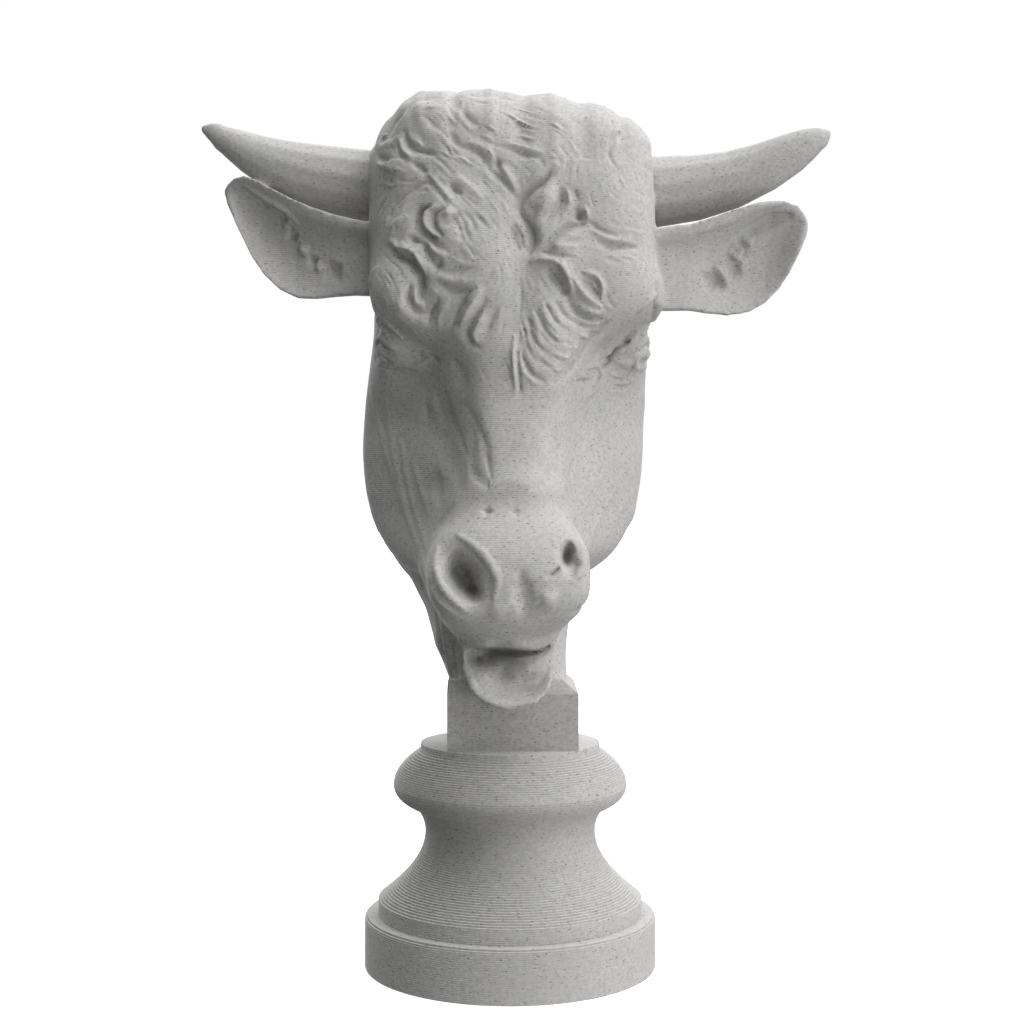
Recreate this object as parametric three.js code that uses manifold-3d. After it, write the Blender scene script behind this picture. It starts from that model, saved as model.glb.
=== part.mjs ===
// A small bull head bust on a turned socle, printed in grey speckled plastic.
// Millimetres, +Z up, the face looks along -Y. The origin is the centre of the socle's underside.
import * as THREE from 'three';
import { mergeVertices } from 'three/addons/utils/BufferGeometryUtils.js';
import Module from 'manifold-3d';

const wasm = await Module();
wasm.setup();

// Driving dimensions of the turned socle
const SOCLE_TOP = 22.4;
const DRUM_RADIUS = 14.7;
const DRUM_HEIGHT = 5.2;
const DRUM_BEVEL = 0.35;
const STEP_RADIUS = 13.33;
const STEP_TOP = 6.7;
const WAIST_RADIUS = 8.6;
const WAIST_HEIGHT = 13.5;
const TORUS_RADIUS = 11.8;
const TORUS_HEIGHT = 18.2;
const TORUS_BOTTOM = 15.95;
const TORUS_BOTTOM_RADIUS = 9.5;
const RING_RADIUS = 9.05;
const RING_BOTTOM = 21.75;
const SOCLE_SIDES = 36;
const SOCLE_CURVE_STEPS = 4;

// Control points that shape the hollow of the waist and the swelling of the torus: radius, height
const HOLLOW_ENTRY = [11.3, 8.3];
const HOLLOW_DEEPEST = [WAIST_RADIUS, 10.6];
const HOLLOW_RETURN = [WAIST_RADIUS, 14.8];
const TORUS_UNDER = [10.9, 16.5];
const TORUS_BELLY = [TORUS_RADIUS, 17.2];
const TORUS_SHOULDER = [TORUS_RADIUS, 19.6];
const TORUS_NECK = [10.5, 20.8];

// Driving dimensions of the square block under the neck
const BLOCK_WIDTH = 12.86;
const BLOCK_SIDE_TOP = 28.0;
const BLOCK_CHAMFER = 1.1;

// Driving dimensions of the head
const HEAD_COLUMNS = 54;
const HEAD_ROWS = 58;
const HEAD_YAW_DEG = 5.5;
const MUZZLE_YAW_DEG = 1.5;
const MUZZLE_YAW_BAND = [40, 50];
const YAW_AXIS_Y = 4;
const CHEEK_FALL_MM = { left: 6, right: 3 };
const CHEEK_FALL_ACROSS = [3.5, 14];
const CHEEK_FALL_LOW = [37, 46];
const CHEEK_FALL_HIGH = [54, 61];
const CHEEK_FALL_DEPTH = [-4, 14];
const JAW_SWING_MM = 0.85;
const JAW_SWING_BAND = [51, 62];
const MUZZLE_SWING_MM = 1.0;
const MUZZLE_FRONT_BAND = [0, 5];
const FRONT_CROWDING = 0.5;
const CROWN_SHARE = 0.19;
const CHIN_SHARE = 0.22;
const CAP_CURVE = 1.25;
const CAST_REACH = 30;
const CAST_STEP = 0.3;
const CAST_HALVINGS = 14;

// Points of the line inside the head that the skin is measured from, from crown to mouth
const SPINE = [
  [0, 4.5, 80.5],
  [0, 4.5, 74],
  [0, 4.2, 66],
  [0, 3.4, 58],
  [0, 1.0, 50.5],
  [0, -3.0, 44.8],
  [0, -5.2, 41.4],
  [0, -6.0, 38.8],
];

// Masses that blend into the head: centre, half sizes, squareness, forward tilt in degrees,
// blend width. A pair is repeated on the other side of the midline. A cut is taken away.
const HEAD_MASSES = [
  { at: [0, 3.2, 75.8], half: [14.4, 11.0, 11.95], power: 3.6, tilt: 7, blend: 1 },
  { at: [-5.6, 1.5, 81.9], half: [8.1, 8.0, 6.3], power: 2.5, tilt: 0, blend: 1.5 },
  { at: [0, -1.5, 67], half: [9.5, 6.5, 10], power: 2.4, tilt: 0, blend: 2.5 },
  { at: [0, 5.2, 55.5], half: [14.6, 8.8, 18.8], power: 2.8, tilt: 14, blend: 4 },
  { at: [0, -2.2, 55], half: [5.6, 6.6, 16], power: 3, tilt: 9, blend: 4.5 },
  { at: [0, -7.0, 39.6], half: [7.3, 7.2, 6.9], power: 2.4, tilt: 12, blend: 4.5 },
  { at: [0, -1.8, 38.2], half: [6.4, 8.5, 4.6], power: 2.2, tilt: 20, blend: 3 },
  { at: [9.7, -2.6, 66.9], half: [5.2, 4.6, 4.2], power: 2.2, tilt: 0, blend: 3, pair: true },
  { at: [14.6, -5.0, 61.6], half: [4.6, 3.4, 2.8], power: 2, tilt: 0, blend: 2.5, pair: true, cut: true },
  { at: [11.3, -0.2, 62.0], half: [2.9, 2.9, 2.1], power: 2, tilt: 0, blend: 1.6, pair: true },
  { at: [4.9, -10.6, 39.9], half: [3.1, 3.2, 4.5], power: 2.4, tilt: 10, blend: 1.6, pair: true },
];

// Nostrils: capsules taken away, from and to, radius. The one on the viewer's left is flared wide
// open, the other is a short slit.
const NOSTRIL_BLEND = 1.0;
const NOSTRILS = [
  { from: [-5.0, -13.6, 41.6], to: [-4.5, -13.6, 39.9], radius: 1.5 },
  { from: [-4.5, -13.6, 39.9], to: [-3.7, -13.9, 38.8], radius: 1.5 },
  { from: [5.2, -13.7, 41.9], to: [5.3, -13.7, 41.2], radius: 0.9 },
];

// Strokes of hair and skin in front view. Each row: start x and z, heading and bend in degrees,
// length, half width, height. A heading of 0 points to the viewer's right, 90 points up.
const STROKES = {
  parting: [
    [1.0, 77.2, -100, 35, 5.6, 1.3, -1.2],
    [1.6, 72.0, -92, -6, 9.0, 1.7, -0.8],
  ],
  rightRosette: [
    [4.6, 79.2, 230, 0, 5.6, 1.5, 0.7],
    [5.3, 76.6, -95, -35, 3.8, 1.2, -0.8],
    [6.4, 74.8, -85, 0, 1.4, 1.2, -0.8],
    [7.4, 72.6, -6, 0, 4.4, 1.1, -0.5],
    [4.0, 68.2, -40, 0, 1.8, 1.4, -1.1],
    [4.9, 70.4, -60, 25, 7.2, 1.2, 0.6],
    [6.9, 68.2, -40, 20, 3.0, 1.2, -0.6],
  ],
  leftCurls: [
    [-10.0, 82.9, -78, 50, 4.2, 1.3, -0.7],
    [-11.4, 81.6, -85, 50, 3.8, 1.3, 0.5],
    [-7.9, 77.9, 205, 25, 5.0, 1.1, -0.6],
    [-5.8, 83.1, -75, 30, 7.4, 1.3, -0.5],
    [-8.3, 75.6, 232, 90, 4.6, 1.2, -0.9],
    [-6.8, 75.4, 250, 60, 3.6, 1.2, 0.5],
    [-12.1, 71.2, -22, -70, 7.2, 1.2, -1.1],
    [-9.9, 67.5, -88, 90, 3.8, 1.1, -0.7],
    [-3.2, 67.2, 245, 0, 3.8, 1.1, 0.7],
    [-4.9, 66.8, 242, 0, 3.4, 1.0, -0.5],
    [-1.8, 66.0, 238, 0, 3.6, 1.0, -0.4],
  ],
  brows: [
    [14.2, 64.2, 208, 12, 7.0, 1.2, -0.8],
    [-14.0, 65.0, -28, -12, 7.0, 1.2, -0.8],
  ],
};

// Curved locks that hang over the bridge on the viewer's right, fanned from top to bottom
const FRINGE = {
  count: 4, topTip: [8.0, 62.9], lowTip: [4.6, 58.2], heading: -78, headingStep: 7, bend: 50,
  length: 6.4, lengthStep: -0.5, halfWidth: 1.05, height: 0.6,
};
const STROKE_STEPS = 6;
const STROKE_FACING = [0.05, 0.4];

// Driving dimensions of the neck: height, centre x, centre y, half width, half depth
const NECK_SIDES = 28;
const NECK_POWER = 2.2;
const NECK_SECTIONS = [
  [28.6, -0.15, 0.4, 6.0, 5.8],
  [31.0, -0.7, 1.0, 6.4, 6.2],
  [34.0, -1.4, 2.2, 7.4, 7.2],
  [38.0, -1.5, 4.0, 8.2, 8.2],
  [43.0, -1.0, 6.2, 9.2, 9.0],
  [50.0, -0.7, 8.0, 10.6, 9.6],
  [60.0, -0.2, 8.4, 12.0, 9.8],
  [70.0, 0, 7.4, 12.2, 9.0],
  [80.0, 0, 5.2, 10.5, 7.0],
];

// Driving dimensions of the hanging lower lip
const LIP_HALF_WIDTH = 4.9;
const LIP_THICKNESS = 1.5;
const LIP_SIDES = 18;
const LIP_ROWS = 10;
const LIP_UPRIGHT = [0, 1, 0.3];
const LIP_PATH = [
  [-0.4, -3.5, 38.0],
  [-0.35, -7.0, 34.6],
  [-0.1, -9.6, 31.6],
  [0.1, -10.7, 27.0],
];

// Driving dimensions of the lower jaw behind the lip, from the throat to the chin
const CHIN_HALF_WIDTH = 4.2;
const CHIN_THICKNESS = 3.4;
const CHIN_SIDES = 14;
const CHIN_ROWS = 5;
const CHIN_PATH = [
  [-1.0, 4.0, 40.0],
  [-0.7, -0.6, 36.6],
  [-0.3, -5.6, 33.2],
  [0.1, -9.3, 29.3],
];

// Driving dimensions of the horns: points of the centre lines and radii
const HORN_ROOT_RADIUS = 3.95;
const HORN_TIP_RADIUS = 0.8;
const HORN_SWELLING = 1.6;
const HORN_SIDES = 12;
const HORN_ROWS = 10;
const TIP_CROWDING = 1.7;
const END_SHARPNESS = 8;
const HORN_LINES = {
  right: [[8, 5.6, 78.8], [15.1, 5.4, 79.05], [19.8, 5.2, 79.5], [24.3, 4.8, 80.6], [28.8, 4.3, 82.65],
    [31.6, 4.0, 84.2], [33.3, 3.9, 85.0]],
  left: [[-8, 4.5, 78.9], [-14.4, 3.8, 79.3], [-19.9, 3.3, 80.2], [-23.1, 3.0, 81.05], [-26.2, 2.8, 82.3],
    [-29.3, 2.7, 83.95], [-31.9, 2.7, 85.2]],
};

// Driving dimensions of the ears: upper and lower edges in front view, from root to tip
const EAR_THICKNESS = 1.3;
const EAR_ROOT_THICKENING = 3.4;
const EAR_ROOT_SHARE = 0.45;
const EAR_FORWARD = 1.2;
const EAR_HOLLOW = 2.1;
const EAR_HOLLOW_BAND = [0.15, 0.55];
const EAR_RIM_ROLL = 1.1;
const EAR_RIM_BAND = [0.4, 0.8];
const EAR_FADE_BAND = [0.6, 1];
const EAR_TIP_BAND = [0.8, 1];
const EAR_EDGE_THINNING = 0.8;
const EARS = {
  right: {
    side: 1,
    upper: [[10.9, 73.2], [14.9, 74.4], [18.6, 74.9], [22.1, 76.2], [25.8, 77.3], [28.1, 77.4], [29.9, 76.9],
      [30.8, 75.5]],
    lower: [[10.9, 66.3], [14.9, 66.2], [18.5, 66.2], [21.7, 65.7], [25, 66.3], [27.5, 68.4], [29.3, 71.2],
      [30.7, 74.3]],
    rootY: 1,
    tipY: 4.4,
  },
  left: {
    side: -1,
    upper: [[-10.9, 74], [-14, 74.8], [-18.1, 75.8], [-21.7, 77.2], [-24.5, 78.7], [-26.9, 79.9], [-28.5, 79.7],
      [-29.4, 78.7]],
    lower: [[-10.9, 67.3], [-14.7, 67.7], [-18.1, 67.5], [-21.2, 67.3], [-24, 68.7], [-26.3, 71.5], [-28.1, 75.1],
      [-29.2, 77.6]],
    rootY: 0.4,
    tipY: 3.6,
  },
};
const EAR_STEPS_LONG = 11;
const EAR_STEPS_WIDE = 8;

const clamp = THREE.MathUtils.clamp;
const smoothstep = THREE.MathUtils.smoothstep;
const lerp = THREE.MathUtils.lerp;

// A geometry without its shading data, its shared vertices merged
function welded(geometry) {
  const bare = geometry.clone();
  bare.deleteAttribute('normal');
  bare.deleteAttribute('uv');
  return mergeVertices(bare, 1e-4);
}

// A closed geometry as a solid that can be joined or cut
function solidOf(geometry) {
  const shape = welded(geometry);
  return new wasm.Manifold(new wasm.Mesh({
    numProp: 3,
    vertProperties: new Float32Array(shape.attributes.position.array),
    triVerts: new Uint32Array(shape.index.array),
  }));
}

// The triangles of a solid as a geometry
function geometryOf(solid) {
  const mesh = solid.getMesh();
  const geometry = new THREE.BufferGeometry();
  geometry.setAttribute('position', new THREE.BufferAttribute(mesh.vertProperties.slice(), 3));
  geometry.setIndex(new THREE.BufferAttribute(mesh.triVerts.slice(), 1));
  geometry.computeVertexNormals();
  return geometry;
}

// Moves every vertex of a geometry by a rule that is given the point
function reshape(geometry, rule) {
  const position = geometry.attributes.position;
  const point = new THREE.Vector3();
  for (let i = 0; i < position.count; i += 1) {
    point.fromBufferAttribute(position, i);
    rule(point, i);
    position.setXYZ(i, point.x, point.y, point.z);
  }
  return geometry;
}

function vectors(points) {
  return points.map((p) => new THREE.Vector3(...p));
}

// The signed distance, near enough, from a point to one blended mass
function massDistance(mass, x, y, z) {
  const tilt = THREE.MathUtils.degToRad(mass.tilt);
  const dy = y - mass.at[1];
  const dz = z - mass.at[2];
  const px = (mass.pair ? Math.abs(x) : x) - mass.at[0];
  const py = dy * Math.cos(tilt) - dz * Math.sin(tilt);
  const pz = dy * Math.sin(tilt) + dz * Math.cos(tilt);
  const n = mass.power;
  const level = (
    Math.abs(px / mass.half[0]) ** n
    + Math.abs(py / mass.half[1]) ** n
    + Math.abs(pz / mass.half[2]) ** n
  ) ** (1 / n);
  const reach = Math.hypot(px, py, pz);
  return level > 1e-6 ? reach * (level - 1) / level : -Math.min(...mass.half);
}

function smoothMin(a, b, width) {
  const h = clamp(0.5 + 0.5 * (b - a) / width, 0, 1);
  return lerp(b, a, h) - width * h * (1 - h);
}

// The distance from a point to a line between two points, less the radius
function capsuleDistance(capsule, x, y, z) {
  const [ax, ay, az] = capsule.from;
  const [bx, by, bz] = capsule.to;
  const run = [bx - ax, by - ay, bz - az];
  const dot = (x - ax) * run[0] + (y - ay) * run[1] + (z - az) * run[2];
  const t = clamp(dot / (run[0] ** 2 + run[1] ** 2 + run[2] ** 2), 0, 1);
  return Math.hypot(x - ax - run[0] * t, y - ay - run[1] * t, z - az - run[2] * t) - capsule.radius;
}

function headDistance(x, y, z) {
  let distance = Infinity;
  for (const mass of HEAD_MASSES) {
    const d = massDistance(mass, x, y, z);
    if (distance === Infinity) {
      distance = d;
    } else if (mass.cut) {
      distance = -smoothMin(-distance, d, mass.blend);
    } else {
      distance = smoothMin(distance, d, mass.blend);
    }
  }
  for (const nostril of NOSTRILS) {
    distance = -smoothMin(-distance, capsuleDistance(nostril, x, y, z), NOSTRIL_BLEND);
  }
  return distance;
}

// The points of a stroke that runs along an arc in front view
function strokeLine([x, z, heading, bend, length, halfWidth, height]) {
  const step = length / STROKE_STEPS;
  const points = [[x, z]];
  for (let i = 0; i < STROKE_STEPS; i += 1) {
    const angle = THREE.MathUtils.degToRad(heading + bend * (i + 0.5) / STROKE_STEPS);
    const [lastX, lastZ] = points[i];
    points.push([lastX + Math.cos(angle) * step, lastZ + Math.sin(angle) * step]);
  }
  return { points, halfWidth, height };
}

// The fringe locks as strokes: each ends at its tip, so it is laid back from there
function fringeStrokes() {
  const strokes = [];
  for (let i = 0; i < FRINGE.count; i += 1) {
    const t = i / (FRINGE.count - 1);
    const length = FRINGE.length + FRINGE.lengthStep * i;
    const heading = FRINGE.heading + FRINGE.headingStep * i;
    const line = strokeLine([0, 0, heading, FRINGE.bend, length, FRINGE.halfWidth, FRINGE.height]);
    const [endX, endZ] = line.points[line.points.length - 1];
    const tipX = lerp(FRINGE.topTip[0], FRINGE.lowTip[0], t);
    const tipZ = lerp(FRINGE.topTip[1], FRINGE.lowTip[1], t);
    line.points = line.points.map(([x, z]) => [x + tipX - endX, z + tipZ - endZ]);
    strokes.push(line);
  }
  return strokes;
}

// How far the strokes lift the skin at a place in front view
function strokeLift(strokes, x, z) {
  let lift = 0;
  for (const { points, halfWidth, height } of strokes) {
    let nearest = Infinity;
    for (let i = 1; i < points.length; i += 1) {
      const [ax, az] = points[i - 1];
      const [bx, bz] = points[i];
      const run = (bx - ax) ** 2 + (bz - az) ** 2;
      const t = clamp(((x - ax) * (bx - ax) + (z - az) * (bz - az)) / run, 0, 1);
      nearest = Math.min(nearest, Math.hypot(x - ax - (bx - ax) * t, z - az - (bz - az) * t));
    }
    if (nearest < halfWidth) {
      lift += height * (1 - (nearest / halfWidth) ** 2) ** 2;
    }
  }
  return lift;
}

// How far from a point, along a direction, the skin of the head lies
function castToSkin(from, direction) {
  let outside = CAST_REACH;
  let inside = 0;
  for (let r = CAST_REACH; r > 0; r -= CAST_STEP) {
    if (headDistance(from.x + direction.x * r, from.y + direction.y * r, from.z + direction.z * r) < 0) {
      inside = r;
      break;
    }
    outside = r;
  }
  for (let k = 0; k < CAST_HALVINGS; k += 1) {
    const r = (inside + outside) / 2;
    if (headDistance(from.x + direction.x * r, from.y + direction.y * r, from.z + direction.z * r) < 0) {
      inside = r;
    } else {
      outside = r;
    }
  }
  return (inside + outside) / 2;
}

// The cheeks fall back from the bridge of the nose like the sides of a wedge, the left one more
function fallBack(point) {
  const fall = point.x < 0 ? CHEEK_FALL_MM.left : CHEEK_FALL_MM.right;
  const across = smoothstep(Math.abs(point.x), ...CHEEK_FALL_ACROSS);
  const band = smoothstep(point.z, ...CHEEK_FALL_LOW) * (1 - smoothstep(point.z, ...CHEEK_FALL_HIGH));
  const [front, back] = CHEEK_FALL_DEPTH;
  point.y += fall * across * band * clamp((back - point.y) / (back - front), 0, 1);
}

// The muzzle swings a little to the viewer's left, and the whole head turns to the right
function placeHead(point) {
  const jaw = 1 - smoothstep(point.z, ...JAW_SWING_BAND);
  const muzzle = 1 - smoothstep(point.z, ...MUZZLE_YAW_BAND);
  const front = smoothstep(-point.y, ...MUZZLE_FRONT_BAND);
  const x = point.x - JAW_SWING_MM * jaw - MUZZLE_SWING_MM * muzzle * front;
  const y = point.y - YAW_AXIS_Y;
  const yaw = THREE.MathUtils.degToRad(HEAD_YAW_DEG + MUZZLE_YAW_DEG * muzzle);
  point.x = x * Math.cos(yaw) - y * Math.sin(yaw);
  point.y = YAW_AXIS_Y + x * Math.sin(yaw) + y * Math.cos(yaw);
}

// The skin of the head: the vertices of a sphere cast from the spine onto the blended masses
function headGeometry() {
  const spine = new THREE.CatmullRomCurve3(vectors(SPINE));
  const sphere = welded(new THREE.SphereGeometry(1, HEAD_COLUMNS, HEAD_ROWS));
  sphere.rotateX(Math.PI / 2);
  const side = new THREE.Vector3(1, 0, 0);
  const up = new THREE.Vector3();
  const front = new THREE.Vector3();
  const direction = new THREE.Vector3();
  reshape(sphere, (point) => {
    const latitude = Math.asin(clamp(point.z, -1, 1));
    const longitude = Math.atan2(point.x, -point.y) / Math.PI;
    const turn = Math.PI * (FRONT_CROWDING * longitude + (1 - FRONT_CROWDING) * longitude ** 3);
    const v = 0.5 - latitude / Math.PI;
    const along = clamp((v - CROWN_SHARE / 2) / (1 - CROWN_SHARE / 2 - CHIN_SHARE / 2), 0, 1);
    const from = spine.getPoint(along);
    up.copy(spine.getTangent(along)).negate();
    front.crossVectors(up, side).negate();
    const crown = Math.max(0, 1 - v / CROWN_SHARE) ** CAP_CURVE;
    const chin = Math.max(0, 1 - (1 - v) / CHIN_SHARE) ** CAP_CURVE;
    const lift = (crown - chin) * Math.PI / 2;
    direction.copy(side).multiplyScalar(Math.sin(turn) * Math.cos(lift));
    direction.addScaledVector(front, Math.cos(turn) * Math.cos(lift));
    direction.addScaledVector(up, Math.sin(lift));
    direction.normalize();
    const reach = castToSkin(from, direction);
    point.copy(from).addScaledVector(direction, reach);
    fallBack(point);
    placeHead(point);
  });
  return sculpted(sphere);
}

// The skin with the strokes worked into the parts that face the front
function sculpted(skin) {
  const strokes = [...Object.values(STROKES).flat().map(strokeLine), ...fringeStrokes()];
  skin.computeVertexNormals();
  const normal = new THREE.Vector3();
  reshape(skin, (point, i) => {
    normal.fromBufferAttribute(skin.attributes.normal, i);
    const facing = smoothstep(-normal.y, ...STROKE_FACING);
    if (facing > 0) {
      point.addScaledVector(normal, facing * strokeLift(strokes, point.x, point.z));
    }
  });
  return skin;
}

// A point on a ring with the given half sizes and squareness
function squareRing(angle, halfX, halfY, power) {
  const c = Math.cos(angle);
  const s = Math.sin(angle);
  const k = (Math.abs(c) ** power + Math.abs(s) ** power) ** (-1 / power);
  return [halfX * c * k, halfY * s * k];
}

// The neck: a closed cylinder whose rings follow the named sections
function neckGeometry() {
  const rows = NECK_SECTIONS.length - 1;
  const tube = new THREE.CylinderGeometry(1, 1, 1, NECK_SIDES, rows);
  tube.rotateX(Math.PI / 2);
  return reshape(tube, (point) => {
    const row = Math.round((point.z + 0.5) * rows);
    const [z, cx, cy, halfX, halfY] = NECK_SECTIONS[row];
    const onAxis = Math.hypot(point.x, point.y) < 0.5;
    const [x, y] = onAxis ? [0, 0] : squareRing(Math.atan2(point.y, point.x), halfX, halfY, NECK_POWER);
    point.set(cx + x, cy + y, z);
  });
}

// A closed bar turned on its own axis and laid along a curve, with a radius rule
function barAlong(curve, sides, rows, radiusAt, flatten) {
  const profile = [];
  for (let i = 0; i <= rows; i += 1) {
    const along = 1 - (1 - i / rows) ** TIP_CROWDING;
    profile.push(new THREE.Vector2(i === 0 ? 0 : 1, along));
  }
  profile[rows].x = 0;
  const lathe = welded(new THREE.LatheGeometry(profile, sides));
  const axis = new THREE.Vector3();
  const across = new THREE.Vector3();
  const over = new THREE.Vector3();
  return reshape(lathe, (point) => {
    const s = clamp(point.y, 0, 1);
    const angle = Math.atan2(point.z, point.x);
    const rim = Math.hypot(point.x, point.z) > 1e-6;
    const centre = curve.getPoint(s);
    axis.copy(curve.getTangent(s));
    across.set(...flatten).cross(axis).normalize();
    over.crossVectors(across, axis).normalize();
    const [a, b] = rim ? radiusAt(s, angle) : [0, 0];
    point.copy(centre).addScaledVector(across, a * Math.cos(angle));
    point.addScaledVector(over, b * Math.sin(angle));
  });
}

// The share of a bar's radius that is left where its end rounds off
function roundedEnd(s) {
  return Math.sqrt(Math.max(0, 1 - s ** END_SHARPNESS));
}

function hornGeometry(line) {
  const curve = new THREE.CatmullRomCurve3(vectors(line));
  return barAlong(curve, HORN_SIDES, HORN_ROWS, (s) => {
    const r = lerp(HORN_ROOT_RADIUS, HORN_TIP_RADIUS, s ** HORN_SWELLING) * roundedEnd(s);
    return [r, r];
  }, [0, 0, 1]);
}

function chinGeometry() {
  const curve = new THREE.CatmullRomCurve3(vectors(CHIN_PATH));
  return barAlong(curve, CHIN_SIDES, CHIN_ROWS, (s) => {
    const round = Math.sqrt(1 - clamp((s - 0.55) / 0.46, 0, 1) ** 2);
    return [CHIN_HALF_WIDTH * round, CHIN_THICKNESS * round];
  }, LIP_UPRIGHT);
}

function lipGeometry() {
  const curve = new THREE.CatmullRomCurve3(vectors(LIP_PATH));
  return barAlong(curve, LIP_SIDES, LIP_ROWS, (s) => {
    const round = roundedEnd(s);
    return [LIP_HALF_WIDTH * round, LIP_THICKNESS * round ** 0.6];
  }, LIP_UPRIGHT);
}

// An ear: a slab whose front view follows two edges, hollow in front, with a rolled upper rim
function earGeometry(ear) {
  const upper = new THREE.SplineCurve(ear.upper.map((p) => new THREE.Vector2(...p)));
  const lower = new THREE.SplineCurve(ear.lower.map((p) => new THREE.Vector2(...p)));
  const slab = new THREE.BoxGeometry(2, 2, 2, EAR_STEPS_LONG, 1, EAR_STEPS_WIDE);
  return reshape(slab, (point) => {
    const s = (point.x * ear.side + 1) / 2;
    const t = point.z;
    const back = point.y > 0;
    const high = upper.getPoint(s);
    const low = lower.getPoint(s);
    const x = lerp(low.x, high.x, (t + 1) / 2);
    const z = lerp(low.y, high.y, (t + 1) / 2);
    const fade = 1 - smoothstep(s, ...EAR_FADE_BAND);
    const hollow = EAR_HOLLOW * (1 - t * t) * smoothstep(s, ...EAR_HOLLOW_BAND) * fade;
    const roll = EAR_RIM_ROLL * smoothstep(t, ...EAR_RIM_BAND) * fade;
    const margin = Math.max(t * t, smoothstep(s, ...EAR_TIP_BAND));
    const edge = Math.sqrt(1 - EAR_EDGE_THINNING * margin ** 4);
    const front = lerp(ear.rootY, ear.tipY, s) - EAR_FORWARD + hollow - roll;
    const root = EAR_ROOT_THICKENING * (1 - smoothstep(s, 0, EAR_ROOT_SHARE));
    const thickness = (EAR_THICKNESS + roll + root) * edge;
    point.set(x, back ? front + thickness : front, z);
  });
}

function blockGeometry() {
  const corner = BLOCK_WIDTH / 2 * Math.SQRT2;
  const chamfer = BLOCK_CHAMFER * Math.SQRT2;
  const profile = [
    [0, SOCLE_TOP],
    [corner, SOCLE_TOP],
    [corner, BLOCK_SIDE_TOP],
    [corner - chamfer, BLOCK_SIDE_TOP + BLOCK_CHAMFER],
    [0, BLOCK_SIDE_TOP + BLOCK_CHAMFER],
  ];
  const turned = new THREE.LatheGeometry(profile.map((p) => new THREE.Vector2(...p)), 4, Math.PI / 4);
  return turned.rotateX(Math.PI / 2);
}

// The socle's profile, from the centre of its underside to the centre of its top
function socleGeometry() {
  const outline = new THREE.Path();
  outline.moveTo(0, 0);
  outline.lineTo(DRUM_RADIUS, 0);
  outline.lineTo(DRUM_RADIUS, DRUM_HEIGHT - DRUM_BEVEL);
  outline.lineTo(DRUM_RADIUS - DRUM_BEVEL, DRUM_HEIGHT);
  outline.lineTo(STEP_RADIUS, DRUM_HEIGHT);
  outline.lineTo(STEP_RADIUS, STEP_TOP);
  outline.bezierCurveTo(...HOLLOW_ENTRY, ...HOLLOW_DEEPEST, WAIST_RADIUS, WAIST_HEIGHT);
  outline.quadraticCurveTo(...HOLLOW_RETURN, TORUS_BOTTOM_RADIUS, TORUS_BOTTOM);
  outline.bezierCurveTo(...TORUS_UNDER, ...TORUS_BELLY, TORUS_RADIUS, TORUS_HEIGHT);
  outline.bezierCurveTo(...TORUS_SHOULDER, ...TORUS_NECK, RING_RADIUS, RING_BOTTOM);
  outline.lineTo(RING_RADIUS, SOCLE_TOP);
  outline.lineTo(0, SOCLE_TOP);
  return new THREE.LatheGeometry(outline.getPoints(SOCLE_CURVE_STEPS), SOCLE_SIDES).rotateX(Math.PI / 2);
}

function bustGeometry() {
  const pieces = [
    headGeometry(),
    neckGeometry(),
    lipGeometry(),
    chinGeometry(),
    hornGeometry(HORN_LINES.right),
    hornGeometry(HORN_LINES.left),
    earGeometry(EARS.right),
    earGeometry(EARS.left),
    blockGeometry(),
  ];
  const joined = pieces.map(solidOf).reduce((whole, piece) => whole.add(piece));
  return geometryOf(joined);
}

const printedGrey = new THREE.MeshStandardMaterial({ color: 0xb4b4b2, roughness: 0.75, metalness: 0 });
const socleGrey = printedGrey.clone();

const bullHeadBust = new THREE.Mesh(bustGeometry(), printedGrey);
bullHeadBust.name = 'bull_head_bust';

const turnedSocle = new THREE.Mesh(socleGeometry(), socleGrey);
turnedSocle.name = 'turned_socle';

const part = new THREE.Group();
part.add(bullHeadBust, turnedSocle);

export default part;
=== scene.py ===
# %% [markdown]
# A small bull head bust, printed in stone-look plastic and standing on a turned socle.
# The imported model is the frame: its solids give every size, and the pieces made here only add
# what the print shows on its surface. It is loaded first, because everything is placed from it.

# %% Load the frame
import math
import bmesh
import bpy
import numpy as np
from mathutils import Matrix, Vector


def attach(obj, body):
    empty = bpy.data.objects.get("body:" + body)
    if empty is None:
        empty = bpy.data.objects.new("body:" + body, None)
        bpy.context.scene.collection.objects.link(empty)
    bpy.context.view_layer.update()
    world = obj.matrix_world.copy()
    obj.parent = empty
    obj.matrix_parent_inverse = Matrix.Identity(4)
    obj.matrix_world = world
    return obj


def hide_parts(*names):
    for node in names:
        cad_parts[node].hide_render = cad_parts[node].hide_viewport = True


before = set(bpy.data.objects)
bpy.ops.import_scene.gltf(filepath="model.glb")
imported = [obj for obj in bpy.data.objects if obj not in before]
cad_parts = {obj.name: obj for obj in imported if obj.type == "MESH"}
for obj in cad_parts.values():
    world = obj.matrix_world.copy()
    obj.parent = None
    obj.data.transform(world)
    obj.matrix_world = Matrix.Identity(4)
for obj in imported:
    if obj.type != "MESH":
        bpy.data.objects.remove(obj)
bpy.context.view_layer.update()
MM = 0.001

# %% [markdown]
# The camera stands where the photograph was taken from: level with the jaw, about 166 mm in front
# of the socle's axis and looking down by less than a degree. Its place was worked out from the
# curved edges of the socle, which are circles on the real piece. It comes first, because the
# carving further down is drawn as the camera sees it.

# %% Camera
IMAGE_SIZE = 1024
SENSOR_MM = 36.0
FOCAL_PX = 1641.0
CAMERA_MM = (0.19, -166.3, 47.6)
PITCH_DEG = -0.66

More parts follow.
